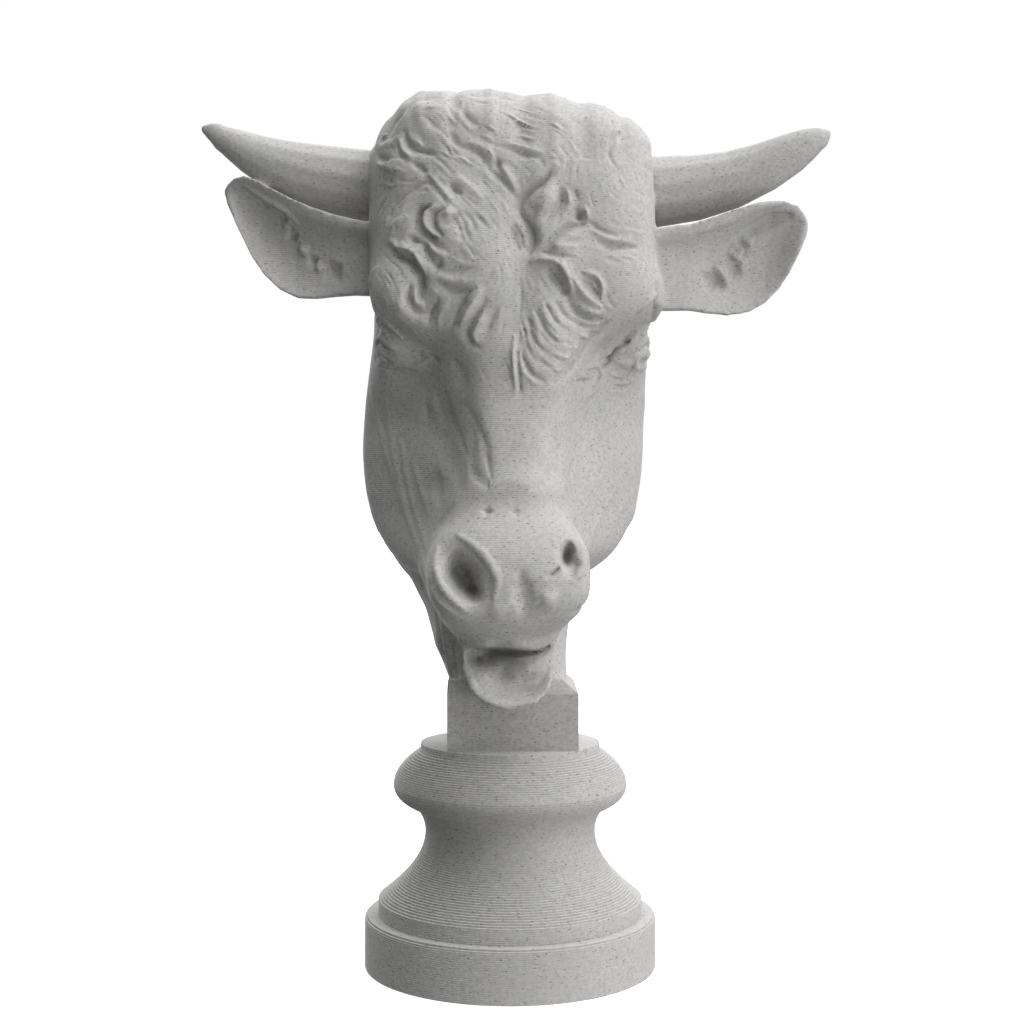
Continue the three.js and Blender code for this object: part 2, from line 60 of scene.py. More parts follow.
camera_data = bpy.data.cameras.new("camera")
camera_data.sensor_width = SENSOR_MM
camera_data.lens = SENSOR_MM * FOCAL_PX / IMAGE_SIZE
camera_data.clip_start = 0.01
camera = bpy.data.objects.new("camera", camera_data)
camera.location = Vector(CAMERA_MM) * MM
camera.rotation_euler = (math.radians(90 + PITCH_DEG), 0, 0)
bpy.context.scene.collection.objects.link(camera)
bpy.context.scene.camera = camera
print("lens", round(camera_data.lens, 2), "mm")

# %% [markdown]
# The studio is a pale floor inside a white sphere, which gives the plain background from every
# side. A photographer would hang a paper roll; a sphere needs no turning when the view changes.
# Both are only there for the camera, so that the light can be set by itself in the next step.

# %% Studio floor and backdrop
FLOOR_HALF_WIDTH = 3.0
FLOOR_GREY = 0.85
FLOOR_ROUGHNESS = 0.9
FLOOR_GLOW = 0.45
BACKDROP_RADIUS = 2.6
BACKDROP_RINGS = 24


def plain_material(name, grey, roughness, glow):
    material = bpy.data.materials.new(name)
    material.use_nodes = True
    shader = material.node_tree.nodes["Principled BSDF"]
    shader.inputs["Base Color"].default_value = (grey, grey, grey, 1)
    shader.inputs["Roughness"].default_value = roughness
    shader.inputs["Emission Color"].default_value = (1, 1, 1, 1)
    shader.inputs["Emission Strength"].default_value = glow
    return material


def object_from(bm, name):
    """A new object that holds the mesh."""
    mesh = bpy.data.meshes.new(name)
    bm.to_mesh(mesh)
    bm.free()
    piece = bpy.data.objects.new(name, mesh)
    bpy.context.scene.collection.objects.link(piece)
    return piece


bm = bmesh.new()
bmesh.ops.create_grid(bm, x_segments=1, y_segments=1, size=FLOOR_HALF_WIDTH)
floor = object_from(bm, "pale_floor")
floor.data.materials.append(plain_material("pale_floor", FLOOR_GREY, FLOOR_ROUGHNESS, FLOOR_GLOW))
bm = bmesh.new()
bmesh.ops.create_uvsphere(bm, u_segments=2 * BACKDROP_RINGS, v_segments=BACKDROP_RINGS,
                          radius=BACKDROP_RADIUS)
backdrop = object_from(bm, "white_backdrop")
backdrop.data.materials.append(plain_material("white_backdrop", 0, 1.0, 1.0))
for stage in (floor, backdrop):
    stage.visible_diffuse = False
    stage.visible_glossy = False
backdrop.visible_shadow = False
print("floor", 2 * FLOOR_HALF_WIDTH, "m wide, backdrop", 2 * BACKDROP_RADIUS, "m across")

# %% [markdown]
# The light comes from wide, soft glows round the piece, as from cloths hung in a light tent. Most
# of it comes from above, from the right and from behind, some from low in front, and next to none
# from the left, so the left cheek stays in shade as it does in the photograph. One small lamp at
# the front right adds a trace of direction. Area lamps would do too, but with harder edges.

# %% Studio light
GLOW_EDGE = 0.62
TENT_LEVEL = 0.06
GLOWS = {
    "above": (0, 88, 2.05),
    "front right, high": (45, 45, 0.75),
    "right, high": (90, 45, 1.65),
    "back, high": (180, 45, 1.0),
    "front right": (45, 8, 0.32),
    "right": (90, 8, 0.1),
    "back": (180, 10, 1.3),
    "back left": (225, 8, 0.7),
    "front right, low": (50, -28, 1.45),
    "right, low": (100, -28, 0.1),
    "front left, low": (300, -28, 0.12),
}
KEY_PLACE = (0.30, -0.30, 0.36)
KEY_SIZE = 0.05
KEY_POWER = 0.18
HEAD_CENTRE = (0, 0, 0.05)


def toward(side, height):
    """The direction so many degrees round to the right of the front, and so many up."""
    turn, rise = math.radians(side), math.radians(height)
    return math.sin(turn) * math.cos(rise), -math.cos(turn) * math.cos(rise), math.sin(rise)


class Nodes:
    """A small helper that adds nodes to a material or a sky and joins them."""

    def __init__(self, owner):
        self.tree = owner.node_tree

    def add(self, kind, inputs=None, **settings):
        node = self.tree.nodes.new(kind)
        for key, value in settings.items():
            setattr(node, key, value)
        for key, value in (inputs or {}).items():
            if isinstance(value, bpy.types.NodeSocket):
                self.tree.links.new(value, node.inputs[key])
            else:
                node.inputs[key].default_value = value
        return node

    def math(self, operation, *values):
        node = self.add("ShaderNodeMath", dict(enumerate(values)), operation=operation)
        return node.outputs[0]

    def mix(self, share, a, b):
        node = self.add("ShaderNodeMix", {0: share, 6: a, 7: b}, data_type="RGBA")
        return node.outputs[2]

    def noise(self, place, **inputs):
        return self.add("ShaderNodeTexNoise", {"Vector": place, **inputs}).outputs[0]

    def band(self, value, low, high, start=0.0, end=1.0):
        """The start value below low, the end value above high."""
        inputs = {"Value": value, "From Min": low, "From Max": high, "To Min": start, "To Max": end}
        return self.add("ShaderNodeMapRange", inputs).outputs[0]


def studio_sky():
    world = bpy.data.worlds.new("studio")
    world.use_nodes = True
    n = Nodes(world)
    direction = n.add("ShaderNodeTexCoord").outputs["Generated"]
    total = TENT_LEVEL
    for side, height, level in GLOWS.values():
        facing = n.add("ShaderNodeVectorMath", {0: direction, 1: toward(side, height)},
                       operation="DOT_PRODUCT").outputs["Value"]
        total = n.math("ADD", total, n.band(facing, GLOW_EDGE, 1.0, 0.0, level))
    background = n.tree.nodes["Background"]
    background.inputs["Color"].default_value = (1, 1, 1, 1)
    n.tree.links.new(total, background.inputs["Strength"])
    bpy.context.scene.world = world


studio_sky()
lamp_data = bpy.data.lights.new("key_lamp", "AREA")
lamp_data.shape = "DISK"
lamp_data.size = KEY_SIZE
lamp_data.energy = KEY_POWER
lamp = bpy.data.objects.new("key_lamp", lamp_data)
lamp.location = KEY_PLACE
aim = Vector(HEAD_CENTRE) - Vector(KEY_PLACE)
lamp.rotation_euler = aim.to_track_quat("-Z", "Y").to_euler()
bpy.context.scene.collection.objects.link(lamp)
bpy.context.scene.view_settings.view_transform = "Standard"
print("glows", len(GLOWS), "and one lamp")

# %% [markdown]
# The bust is one closed piece, so the solid's mesh is taken over as it is rather than built again.
# Its triangles are long in places, which suits a solid but not carving. A voxel remesh lays an even
# skin over the head and neck. The square block under the neck is cut away first, because a remesh
# would round its edges; it is made by itself further down. The horns and the ears are cut off too,
# because their tips and rims are too thin for an even skin.

# %% Take the head's skin from the solid
SKIN_VOXEL_MM = 0.63
NECK_CUT_MM = 28.65
NECK_FOOT_MM = 0.5
LIP_BACK_MM = -7.3
SIDE_CUT_MM = 14.6
EAR_LOW_MM = 63.0
MERGE_M = 1e-6


def copied_solid(node):
    """A copy of a solid's mesh with its loose triangles joined."""
    bm = bmesh.new()
    bm.from_mesh(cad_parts[node].data)
    bmesh.ops.remove_doubles(bm, verts=bm.verts, dist=MERGE_M)
    return bm


def whole_geometry(faces):
    geometry = set(faces)
    geometry.update(e for f in faces for e in f.edges)
    geometry.update(v for f in faces for v in f.verts)
    return list(geometry)


def cut_off_block(bm):
    behind_lip = [f for f in bm.faces if f.calc_center_median().y > LIP_BACK_MM * MM]
    bmesh.ops.bisect_plane(bm, geom=whole_geometry(behind_lip), clear_inner=True,
                           plane_co=(0, 0, NECK_CUT_MM * MM), plane_no=(0, 0, 1))
    rim = [e for e in bm.edges if e.is_boundary]
    cap = bmesh.ops.edgeloop_fill(bm, edges=rim)["faces"]
    foot = bmesh.ops.extrude_face_region(bm, geom=cap)["geom"]
    foot_verts = [v for v in foot if isinstance(v, bmesh.types.BMVert)]
    bmesh.ops.translate(bm, verts=foot_verts, vec=(0, 0, -NECK_FOOT_MM * MM))
    bmesh.ops.delete(bm, geom=[f for f in cap if f.is_valid], context="FACES_ONLY")


def cut_off_sides(bm):
    for side in (-1, 1):
        upper = [f for f in bm.faces if any(v.co.z > EAR_LOW_MM * MM for v in f.verts)]
        bmesh.ops.bisect_plane(bm, geom=whole_geometry(upper), clear_outer=True,
                               plane_co=(side * SIDE_CUT_MM * MM, 0, 0), plane_no=(side, 0, 0))
    bmesh.ops.holes_fill(bm, edges=[e for e in bm.edges if e.is_boundary])
    bmesh.ops.recalc_face_normals(bm, faces=bm.faces)


skin = copied_solid("bull_head_bust")
cut_off_block(skin)
cut_off_sides(skin)
bust = object_from(skin, "bull_head")
print("head skin", len(bust.data.vertices), "points")

# %% [markdown]
# The horns and ears get a finer skin of their own. Their roots are run on into the head before the
# remesh, so no gap shows where they meet the hair.

# %% Horns and ears
SIDE_VOXEL_MM = 0.24
SIDE_SMOOTHING = 4
ROOT_DEPTH_MM = 1.6
SMOOTH_SHARE = 0.5
FAR = 1000.0
ANY = (-FAR, FAR)


def one_side(side):
    bm = copied_solid("bull_head_bust")
    bmesh.ops.delete(bm, geom=[v for v in bm.verts if v.co.z < EAR_LOW_MM * MM], context="VERTS")
    geometry = bm.verts[:] + bm.edges[:] + bm.faces[:]
    bmesh.ops.bisect_plane(bm, geom=geometry, clear_inner=True,
                           plane_co=(side * SIDE_CUT_MM * MM, 0, 0), plane_no=(side, 0, 0))
    roots = bmesh.ops.extrude_edge_only(bm, edges=[e for e in bm.edges if e.is_boundary])["geom"]
    root_verts = [v for v in roots if isinstance(v, bmesh.types.BMVert)]
    bmesh.ops.translate(bm, verts=root_verts, vec=(-side * ROOT_DEPTH_MM * MM, 0, 0))
    bmesh.ops.holes_fill(bm, edges=[e for e in bm.edges if e.is_boundary])
    bmesh.ops.recalc_face_normals(bm, faces=bm.faces)
    return bm


def even_skin(piece, voxel):
    """Remesh the piece with even faces, and make the result its own mesh."""
    remesh = piece.modifiers.new("even_skin", "REMESH")
    remesh.mode = "VOXEL"
    remesh.voxel_size = voxel * MM
    remesh.use_smooth_shade = True
    graph = bpy.context.evaluated_depsgraph_get()
    mesh = bpy.data.meshes.new_from_object(piece.evaluated_get(graph))
    old = piece.data
    piece.modifiers.clear()
    piece.data = mesh
    bpy.data.meshes.remove(old)


def inside(point, box):
    return all(low < c < high for c, (low, high) in zip(point, box))


def smooth(bm, rounds, box=(ANY, ANY, ANY)):
    """Draw the points inside a box half way to the middle of their neighbours, over and over."""
    near = [v for v in bm.verts if inside([c / MM for c in v.co], box)]
    for _ in range(rounds):
        bmesh.ops.smooth_vert(bm, verts=near, factor=SMOOTH_SHARE,
                              use_axis_x=True, use_axis_y=True, use_axis_z=True)


def horns_and_ears():
    both = one_side(1)
    other = bpy.data.meshes.new("other_side")
    left = one_side(-1)
    left.to_mesh(other)
    left.free()
    both.from_mesh(other)
    bpy.data.meshes.remove(other)
    piece = object_from(both, "horns_and_ears")
    even_skin(piece, SIDE_VOXEL_MM)
    bm = bmesh.new()
    bm.from_mesh(piece.data)
    smooth(bm, SIDE_SMOOTHING)
    bm.to_mesh(piece.data)
    bm.free()
    return piece


sides = horns_and_ears()
even_skin(bust, SKIN_VOXEL_MM)
print("horns and ears", len(sides.data.polygons), "faces, head", len(bust.data.polygons))

# %% [markdown]
# The carving itself is a list of strokes, as a carver would make them: each runs along a few points
# of the front view, has a half width and a height, and either raises a ridge or cuts a groove. The
# points are read off the front view, which the camera gives, so every lock lies where it shows.
# Sculpting by hand would be the usual way, but a script needs each stroke as numbers. The sides
# and the crown are drawn in flat views instead, in tenths of a millimetre.

# %% Views to draw in
TENTHS = 10


def front_view(points):
    """Where points, in millimetres, appear in the front view: across and down."""
    pitch = math.radians(PITCH_DEG)
    off = points - np.array(CAMERA_MM)
    depth = off[:, 1] * math.cos(pitch) + off[:, 2] * math.sin(pitch)
    up = off[:, 2] * math.cos(pitch) - off[:, 1] * math.sin(pitch)
    across = IMAGE_SIZE / 2 + FOCAL_PX * off[:, 0] / depth
    down = IMAGE_SIZE / 2 - FOCAL_PX * up / depth
    return np.stack([across, down], axis=1)


VIEWS = {
    "front": (front_view, None),
    "left": (lambda p: p[:, 1:] * TENTHS, (-1, 0, 0)),
    "right": (lambda p: p[:, 1:] * TENTHS, (1, 0, 0)),
    "top": (lambda p: p[:, :2] * TENTHS, (0, 0, 1)),
}


def within(across=ANY, deep=ANY, high=ANY, out=-1.0):
    """A test for the points inside a box and so far out to either side, in millimetres."""
    low, top = np.array([across, deep, high], float).T
    return lambda co: np.all((co > low) & (co < top), axis=1) & (np.abs(co[:, 0]) > out)


print("views", sorted(VIEWS))

# %% [markdown]
# A stroke is a rounded bar along a smooth line, thinner and lower at its ends, as a gouge leaves
# it. Its rise falls off softly to both sides, so that neighbouring strokes run together. A bevelled
# curve joined to the skin would do too, but it would leave a hard edge all round.

# %% One stroke
CURVE_STEPS = 4
TAPER = 0.3
END_THINNER = 0.45
END_LOWER = 0.5


def curve_through(points):
    """A smooth line through a few points."""
    p = np.array(points, float)
    if len(p) < 3:
        return p
    ends = np.vstack([2 * p[0] - p[1], p, 2 * p[-1] - p[-2]])
    line = []
    for a, b, c, d in zip(ends, ends[1:], ends[2:], ends[3:]):
        for t in np.arange(CURVE_STEPS) / CURVE_STEPS:
            line.append(0.5 * (2 * b + (c - a) * t + (2 * a - 5 * b + 4 * c - d) * t ** 2
                               + (3 * b - a - 3 * c + d) * t ** 3))
    line.append(p[-1])
    return np.array(line)


def stroke_lift(view, points, half_width, height):
    """How far one stroke lifts each point of a view, in millimetres."""
    line = curve_through(points)
    low = line.min(0) - half_width
    high = line.max(0) + half_width
    near = np.where(np.all((view > low) & (view < high), axis=1))[0]
    lift = np.zeros(len(view))
    if not len(near):
        return lift
    spot = view[near]
    runs = np.diff(line, axis=0)
    lengths = np.maximum(np.hypot(runs[:, 0], runs[:, 1]), 1e-6)
    starts = np.concatenate([[0], np.cumsum(lengths)])
    best = np.full(len(near), np.inf)
    along = np.zeros(len(near))
    for k, run in enumerate(runs):
        rel = spot - line[k]
        t = np.clip(rel @ run / lengths[k] ** 2, 0, 1)
        gap = np.hypot(*(rel - t[:, None] * run).T)
        closer = gap < best
        best = np.where(closer, gap, best)
        along = np.where(closer, (starts[k] + t * lengths[k]) / starts[-1], along)
    full = np.clip(np.minimum(along, 1 - along) / TAPER, 0, 1)
    width = half_width * (1 - END_THINNER + END_THINNER * full)
    inside = best < width
    rise = (1 - (best[inside] / width[inside]) ** 2) ** 2
    lift[near[inside]] = height * rise * (1 - END_LOWER + END_LOWER * full[inside])
    return lift


print("a test stroke rises", stroke_lift(np.zeros((1, 2)), [(-1, 0), (1, 0)], 1.0, 0.5)[0], "mm")

# %% [markdown]
# The carving itself moves the points of a skin along their normals, or all one way where a form has
# to be pressed in or an outline moved. Faces seen edge on are moved less, because a stroke drawn in
# one view would be torn long on them. Each stroke may have a shoulder, a share of it that is spread
# out wider, which makes a lock swell out of the ground instead of lying on it like a string.

# %% Carving a skin
SHOULDER_SPREAD = 2.2
SOFT_SHOULDER, MEDIUM_SHOULDER, SLIGHT_SHOULDER = 0.4, 0.35, 0.3
EDGE_ON = 0.02
FACE_ON = 0.25
RIGHT = (1, 0, 0)
INWARDS = (0, 1, 0)
UP = (0, 0, 1)
DOWN = (0, 0, -1)


class Carving:
    """The mesh of a piece, ready for strokes drawn in one of the views."""

    def __init__(self, piece, side="front"):
        self.mesh = piece.data
        self.side = side
        self.read()

    def fetch(self, key):
        values = np.zeros(len(self.mesh.vertices) * 3, np.float32)
        self.mesh.vertices.foreach_get(key, values)
        return values.reshape(-1, 3).astype(float)

    def read(self):
        self.co = self.fetch("co") / MM
        self.normal = self.fetch("normal")
        flat, sight = VIEWS[self.side]
        self.view = flat(self.co)
        if sight is None:
            sight = np.array(CAMERA_MM) - self.co
            sight /= np.linalg.norm(sight, axis=1)[:, None]
        self.facing = np.clip(((self.normal * sight).sum(1) - EDGE_ON) / FACE_ON, 0, 1)

    def soften(self, box, rounds):
        """Even out the skin inside a box, given in millimetres."""
        bm = bmesh.new()
        bm.from_mesh(self.mesh)
        smooth(bm, rounds, box)
        bm.to_mesh(self.mesh)
        bm.free()
        self.read()

    def carve(self, strokes, where, shoulder=0.0, push=None, through=False):
        """Carve strokes; the shoulder is the share of each that is spread out wider.

        Strokes that go through also move what faces away, so that an outline has no step.
        """
        chosen = np.where(where(self.co) & (through | (self.facing > 0)))[0]
        view = self.view[chosen]
        lift = np.zeros(len(chosen))
        for half_width, height, *points in strokes:
            lift += stroke_lift(view, points, half_width, height * (1 - shoulder))
            if shoulder:
                lift += stroke_lift(view, points, half_width * SHOULDER_SPREAD, height * shoulder)
        if push is None:
            self.co[chosen] += self.normal[chosen] * (lift * self.facing[chosen])[:, None]
        else:
            self.co[chosen] += np.array(push, float) * lift[:, None]
        self.mesh.vertices.foreach_set("co", (self.co * MM).ravel())
        self.mesh.update()
        self.read()


on_brow = within((-17, 17), (-FAR, 6), (52, FAR))
print("points of the brow", int(on_brow(Carving(bust).co).sum()))

# %% [markdown]
# The large forms come first, while the skin is still coarse: the swellings of the forehead, the
# sockets, the dark hollow along the left of the nose and small corrections of the outline. Wide
# strokes on coarse faces stay smooth, and the smoothing that follows takes off what roughness is
# left, so that the fine cuts made later lie on an even ground.

# %% Large forms
MASSES = [
    (34.0, 0.5, (460, 235), (478, 262), (488, 290)),
    (26.0, 0.5, (402, 290), (404, 312), (408, 330)),
    (22.0, 0.3, (400, 120), (412, 118)),
    (18.0, -0.35, (512, 212), (518, 245), (520, 280)),
    (14.0, -0.3, (478, 112), (470, 128), (482, 146), (502, 168)),
    (15.0, -0.45, (414, 178), (396, 184), (382, 196)),
    (12.0, -0.3, (570, 112), (578, 122)),
    (20.0, 0.3, (600, 180), (622, 200)),
    (24.0, 0.35, (612, 282), (618, 308)),
    (15.0, 0.4, (548, 306), (560, 336), (550, 360)),
    (15.0, -0.6, (597, 352), (606, 350)),
    (26.0, -0.7, (392, 370), (412, 376), (436, 384)),
    (26.0, -0.55, (424, 352), (448, 358), (466, 368)),
]
FLANK = [
    (26.0, -0.6, (430, 396), (442, 432), (452, 470)),
    (20.0, -0.5, (456, 378), (464, 418), (476, 460)),
    (26.0, 0.3, (392, 420), (400, 470)),
    (46.0, 0.5, (506, 466), (556, 466)),
    (24.0, 0.95, (484, 489), (520, 488), (558, 491)),
    (26.0, -0.2, (596, 400), (588, 440), (584, 480)),
    (26.0, 0.3, (622, 420), (618, 480)),
]
OUTLINE = [
    (16.0, -0.6, (603, 555), (590, 575)),
    (12.0, -0.4, (592, 560), (590, 590)),
    (24.0, -0.45, (404, 558), (412, 592)),
    (16.0, 0.55, (418, 600), (424, 618), (428, 640)),
    (18.0, 0.45, (640, 400), (640, 470), (634, 520), (620, 545)),
    (12.0, 0.45, (364, 300), (370, 312)),
    (11.0, 0.35, (633, 510), (632, 527)),
]
on_face = within((-17, 17), (-FAR, 6), (38, FAR))
on_jaw = within(deep=(-8.5, FAR), high=(32, 68))
carving = Carving(bust)
carving.carve(MASSES, on_brow)
carving.carve(FLANK, on_face)
carving.carve(OUTLINE, on_jaw, push=RIGHT, through=True)
print("large strokes", len(MASSES) + len(FLANK) + len(OUTLINE))

# %% [markdown]
# Carving needs finer faces where the hair and the creases are, and the back of the neck needs none.
# The face and the eyes are divided once, the forehead and the muzzle twice. Each place is a box and
# a share by which a face must look to the front. A finer remesh would spend its faces everywhere.

# %% Finer faces where the carving goes
ANY_WAY = -2.0
ONCE = [
    ((-15.5, 15.5), (-FAR, 4), (56, FAR), 0.05),
    ((-15.5, 15.5), (-FAR, 4), (26, 56), 0.2),
    ((-FAR, -9), (-FAR, 5), (56.5, 66), ANY_WAY),
    ((9, FAR), (-FAR, 5), (56.5, 66), ANY_WAY),
]
TWICE = [
    ((-13, 13), ANY, (57.5, FAR), 0.35),
    ((-8.6, 8.6), (-FAR, -8), (37, 50), 0.3),
]
SOFT_BOXES_MM = [
    (((-8, 8), (-16, -4), (34, 52)), 5),
    (((-17, 17), (-12, 4), (56, 82)), 8),
]


def divide(bm, places):
    """Divide in four the faces in one of the places that look to the front enough."""
    bm.normal_update()
    faces = [f for f in bm.faces
             if any(inside(f.calc_center_median() / MM, box) and -f.normal.y > front
                    for *box, front in places)]
    edges = {e for f in faces for e in f.edges}
    bmesh.ops.subdivide_edges(bm, edges=list(edges), cuts=1, use_grid_fill=True, smooth=0)


bm = bmesh.new()
bm.from_mesh(bust.data)
smooth(bm, 2)
for box, rounds in SOFT_BOXES_MM:
    smooth(bm, rounds, box)
divide(bm, ONCE)
smooth(bm, 2)
divide(bm, TWICE)
smooth(bm, 1)
bm.to_mesh(bust.data)
print("head", sum(len(f.verts) - 2 for f in bm.faces), "triangles")
bm.free()

# %% [markdown]
# The forehead is covered in curls. They part in a deep groove that starts right of the middle and
# winds down to the bridge; on the right the locks fan out of it, on the left they lie in hooks.
# Each lock is a ridge and each gap a groove. A texture would be easier but would cast no shade.

# %% Curls of the forehead
PARTING = [
    (5.6, -0.85, (550, 173), (541, 182), (531, 189), (523, 197), (519, 207), (521, 217)),
    (5.0, -0.75, (524, 219), (530, 230), (532, 242), (528, 253)),
    (3.2, -0.35, (511, 228), (515, 238), (520, 250)),
    (3.2, 0.25, (516, 222), (523, 232), (525, 244)),
    (2.2, -0.22, (520, 280), (521, 295), (520, 312)),
]
UPPER_LEFT = [
    (4.2, -0.23, (380, 138), (387, 128), (395, 118), (406, 108), (420, 100), (436, 96)),
    (3.0, -0.23, (470, 92), (490, 93), (514, 97)),
    (5.0, -0.51, (404, 132), (406, 142), (414, 149), (424, 152), (434, 153)),
    (3.4, -0.35, (396, 139), (397, 148), (400, 155), (406, 160)),
    (3.4, 0.31, (410, 136), (414, 144), (424, 148)),
    (3.4, 0.31, (400, 140), (404, 151), (414, 158)),
    (2.6, -0.51, (412, 162), (419, 167), (426, 173)),
    (2.4, 0.16, (427, 173), (436, 182), (446, 194), (454, 204), (462, 210)),
    (2.2, -0.17, (422, 175), (432, 186), (442, 197), (451, 207)),
    (4.0, -0.39, (430, 182), (416, 187), (403, 195), (394, 206), (389, 216)),
    (6.0, 0.23, (376, 160), (388, 168), (404, 170)),
    (5.0, -0.23, (428, 120), (436, 128)),
    (3.0, -0.27, (458, 100), (459, 110)),
    (3.2, -0.27, (465, 102), (464, 112), (470, 120), (478, 126)),
    (4.4, -0.31, (454, 134), (459, 144), (470, 150), (480, 156), (488, 166), (496, 176), (507, 186),
     (515, 197)),
    (4.6, 0.23, (468, 142), (482, 148), (492, 158)),
    (4.6, -0.47, (497, 160), (498, 169)),
    (5.0, 0.31, (502, 166), (509, 178), (515, 190)),
    (2.4, -0.2, (494, 146), (510, 148), (526, 152), (540, 158), (543, 166)),
    (4.0, 0.17, (506, 142), (526, 146), (542, 152)),
]
LEFT_HOOKS = [
    (3.8, -0.6, (450, 183), (454, 189), (460, 194)),
    (5.0, 0.3, (458, 178), (470, 188), (482, 198)),
    (4.0, -0.7, (430, 207), (421, 211), (418, 221), (422, 231), (430, 236), (436, 239)),
    (3.4, 0.5, (437, 207), (428, 211), (425, 220), (428, 229), (437, 236)),
    (3.2, -0.55, (443, 210), (434, 213), (432, 221), (435, 229), (441, 235)),
    (6.0, 0.45, (443, 213), (453, 214)),
    (3.0, -0.4, (442, 224), (450, 219), (458, 215)),
    (2.2, -0.28, (459, 214), (463, 222), (466, 232), (470, 242)),
    (2.2, -0.25, (464, 212), (471, 220), (476, 232)),
    (2.2, -0.22, (472, 212), (480, 219), (488, 228)),
    (2.2, -0.25, (454, 218), (459, 228), (462, 238)),
    (2.2, -0.2, (456, 236), (466, 240)),
    (4.0, 0.5, (402, 218), (394, 226), (392, 238), (398, 247), (410, 251), (420, 250)),
    (4.4, -0.95, (391, 248), (399, 255), (408, 259), (414, 267), (420, 276), (421, 290), (419, 299)),
    (4.0, -0.6, (409, 238), (417, 241)),
    (3.6, -0.5, (416, 241), (424, 246), (427, 256), (434, 264)),
    (5.0, -0.6, (433, 264), (441, 267)),
    (3.4, 0.45, (402, 244), (414, 254), (421, 264), (425, 274)),
    (3.0, 0.4, (428, 242), (436, 252), (446, 256)),
    (2.8, -0.4, (426, 234), (433, 244), (440, 250)),
    (3.4, -0.3, (440, 272), (454, 272), (470, 268)),
    (4.6, -0.4, (438, 285), (452, 291), (468, 290)),
    (5.0, 0.3, (440, 278), (458, 281), (474, 279)),
    (4.2, -0.7, (410, 287), (408, 297), (412, 307), (418, 312), (426, 313)),
    (3.4, 0.4, (416, 289), (415, 300), (422, 306)),
    (4.0, -0.35, (396, 226), (392, 234), (394, 243)),
]
LEFT_LOCKS = [
    (4.8, 0.7, (480, 291), (473, 302), (467, 312), (461, 324)),
    (4.6, -0.35, (469, 292), (461, 304), (456, 314), (452, 324)),
    (4.2, -0.45, (485, 300), (478, 312), (471, 324), (466, 334), (470, 343), (478, 347)),
    (4.2, 0.5, (484, 312), (478, 324), (474, 334), (476, 341)),
    (3.4, -0.3, (496, 310), (490, 322), (484, 336)),
    (3.6, 0.3, (448, 300), (440, 316), (438, 326)),
    (3.6, -0.35, (438, 300), (430, 312), (428, 324)),
    (9.0, -0.2, (424, 332), (438, 339), (456, 343)),
]
ROSETTE = [
    (9.0, 0.75, (551, 190), (545, 202), (538, 214)),
    (4.0, -0.55, (561, 190), (561, 201), (554, 211), (546, 219)),
    (4.0, 0.3, (568, 192), (569, 204), (562, 216)),
    (3.2, -0.25, (574, 190), (577, 200)),
    (4.2, -0.7, (577, 212), (580, 220)),
    (3.2, 0.35, (585, 208), (588, 218)),
    (3.8, -0.55, (584, 224), (570, 226), (558, 233), (548, 242), (536, 253)),
    (5.0, 0.45, (584, 232), (568, 237), (556, 246), (574, 246)),
    (3.4, -0.4, (541, 252), (554, 255), (570, 256)),
    (4.6, 0.6, (532, 262), (546, 259), (558, 262), (565, 270), (569, 281), (571, 290)),
    (4.6, -0.6, (548, 272), (556, 279), (562, 288)),
    (4.0, -0.6, (560, 288), (567, 295)),
    (5.0, 0.5, (572, 276), (580, 290), (590, 300), (600, 307)),
    (3.8, -0.4, (582, 281), (590, 287), (598, 297)),
    (3.2, 0.45, (584, 272), (596, 277), (602, 288), (601, 299)),
    (2.4, -0.3, (588, 276), (597, 282), (599, 290)),
    (3.8, -0.6, (567, 297), (574, 309), (583, 317), (600, 319)),
    (5.0, 0.4, (582, 309), (592, 313), (602, 313)),
    (2.8, -0.35, (588, 223), (600, 229), (616, 236)),
    (3.0, -0.6, (598, 241), (610, 245), (622, 246), (635, 247)),
    (3.4, 0.25, (596, 234), (612, 240), (630, 242)),
    (2.4, -0.22, (626, 122), (623, 130), (613, 140), (609, 153), (615, 166)),
]
FRINGE = [
    (2.9, -0.5, (556, 302), (566, 314), (578, 323), (592, 328)),
    (2.9, -0.5, (546, 304), (556, 320), (568, 331), (582, 337)),
    (2.9, -0.5, (536, 312), (545, 328), (556, 340), (572, 347)),
    (2.9, -0.5, (528, 320), (534, 338), (545, 351), (562, 360)),
    (2.9, -0.45, (524, 330), (528, 348), (537, 362), (554, 371)),
    (2.9, -0.4, (521, 336), (523, 356), (530, 372), (545, 382)),
    (3.0, 0.4, (562, 308), (573, 318), (586, 323), (598, 324)),
    (3.0, 0.4, (551, 312), (562, 326), (574, 334), (588, 337)),
    (3.0, 0.4, (541, 320), (551, 334), (564, 344), (577, 348)),
    (3.0, 0.4, (531, 328), (539, 344), (552, 355), (568, 358)),
    (3.0, 0.35, (526, 340), (532, 356), (544, 367), (560, 371)),
    (3.8, -0.6, (606, 322), (597, 332), (589, 342), (582, 352), (573, 363), (564, 374), (554, 382)),
]
CURLS = (PARTING, UPPER_LEFT, LEFT_HOOKS, LEFT_LOCKS, ROSETTE, FRINGE)
carving = Carving(bust)
for group in CURLS:
    carving.carve(group, on_brow, shoulder=SOFT_SHOULDER)
print("forehead strokes", sum(map(len, CURLS)))

# %% [markdown]
# Between the big locks the hair shows faint strands. They follow the locks beside them, so their
# direction is taken from the nearest strokes, and their places from a seeded draw. Before they are
# cut, the whole brow is softened a little, so that the big locks lose their hard edges.

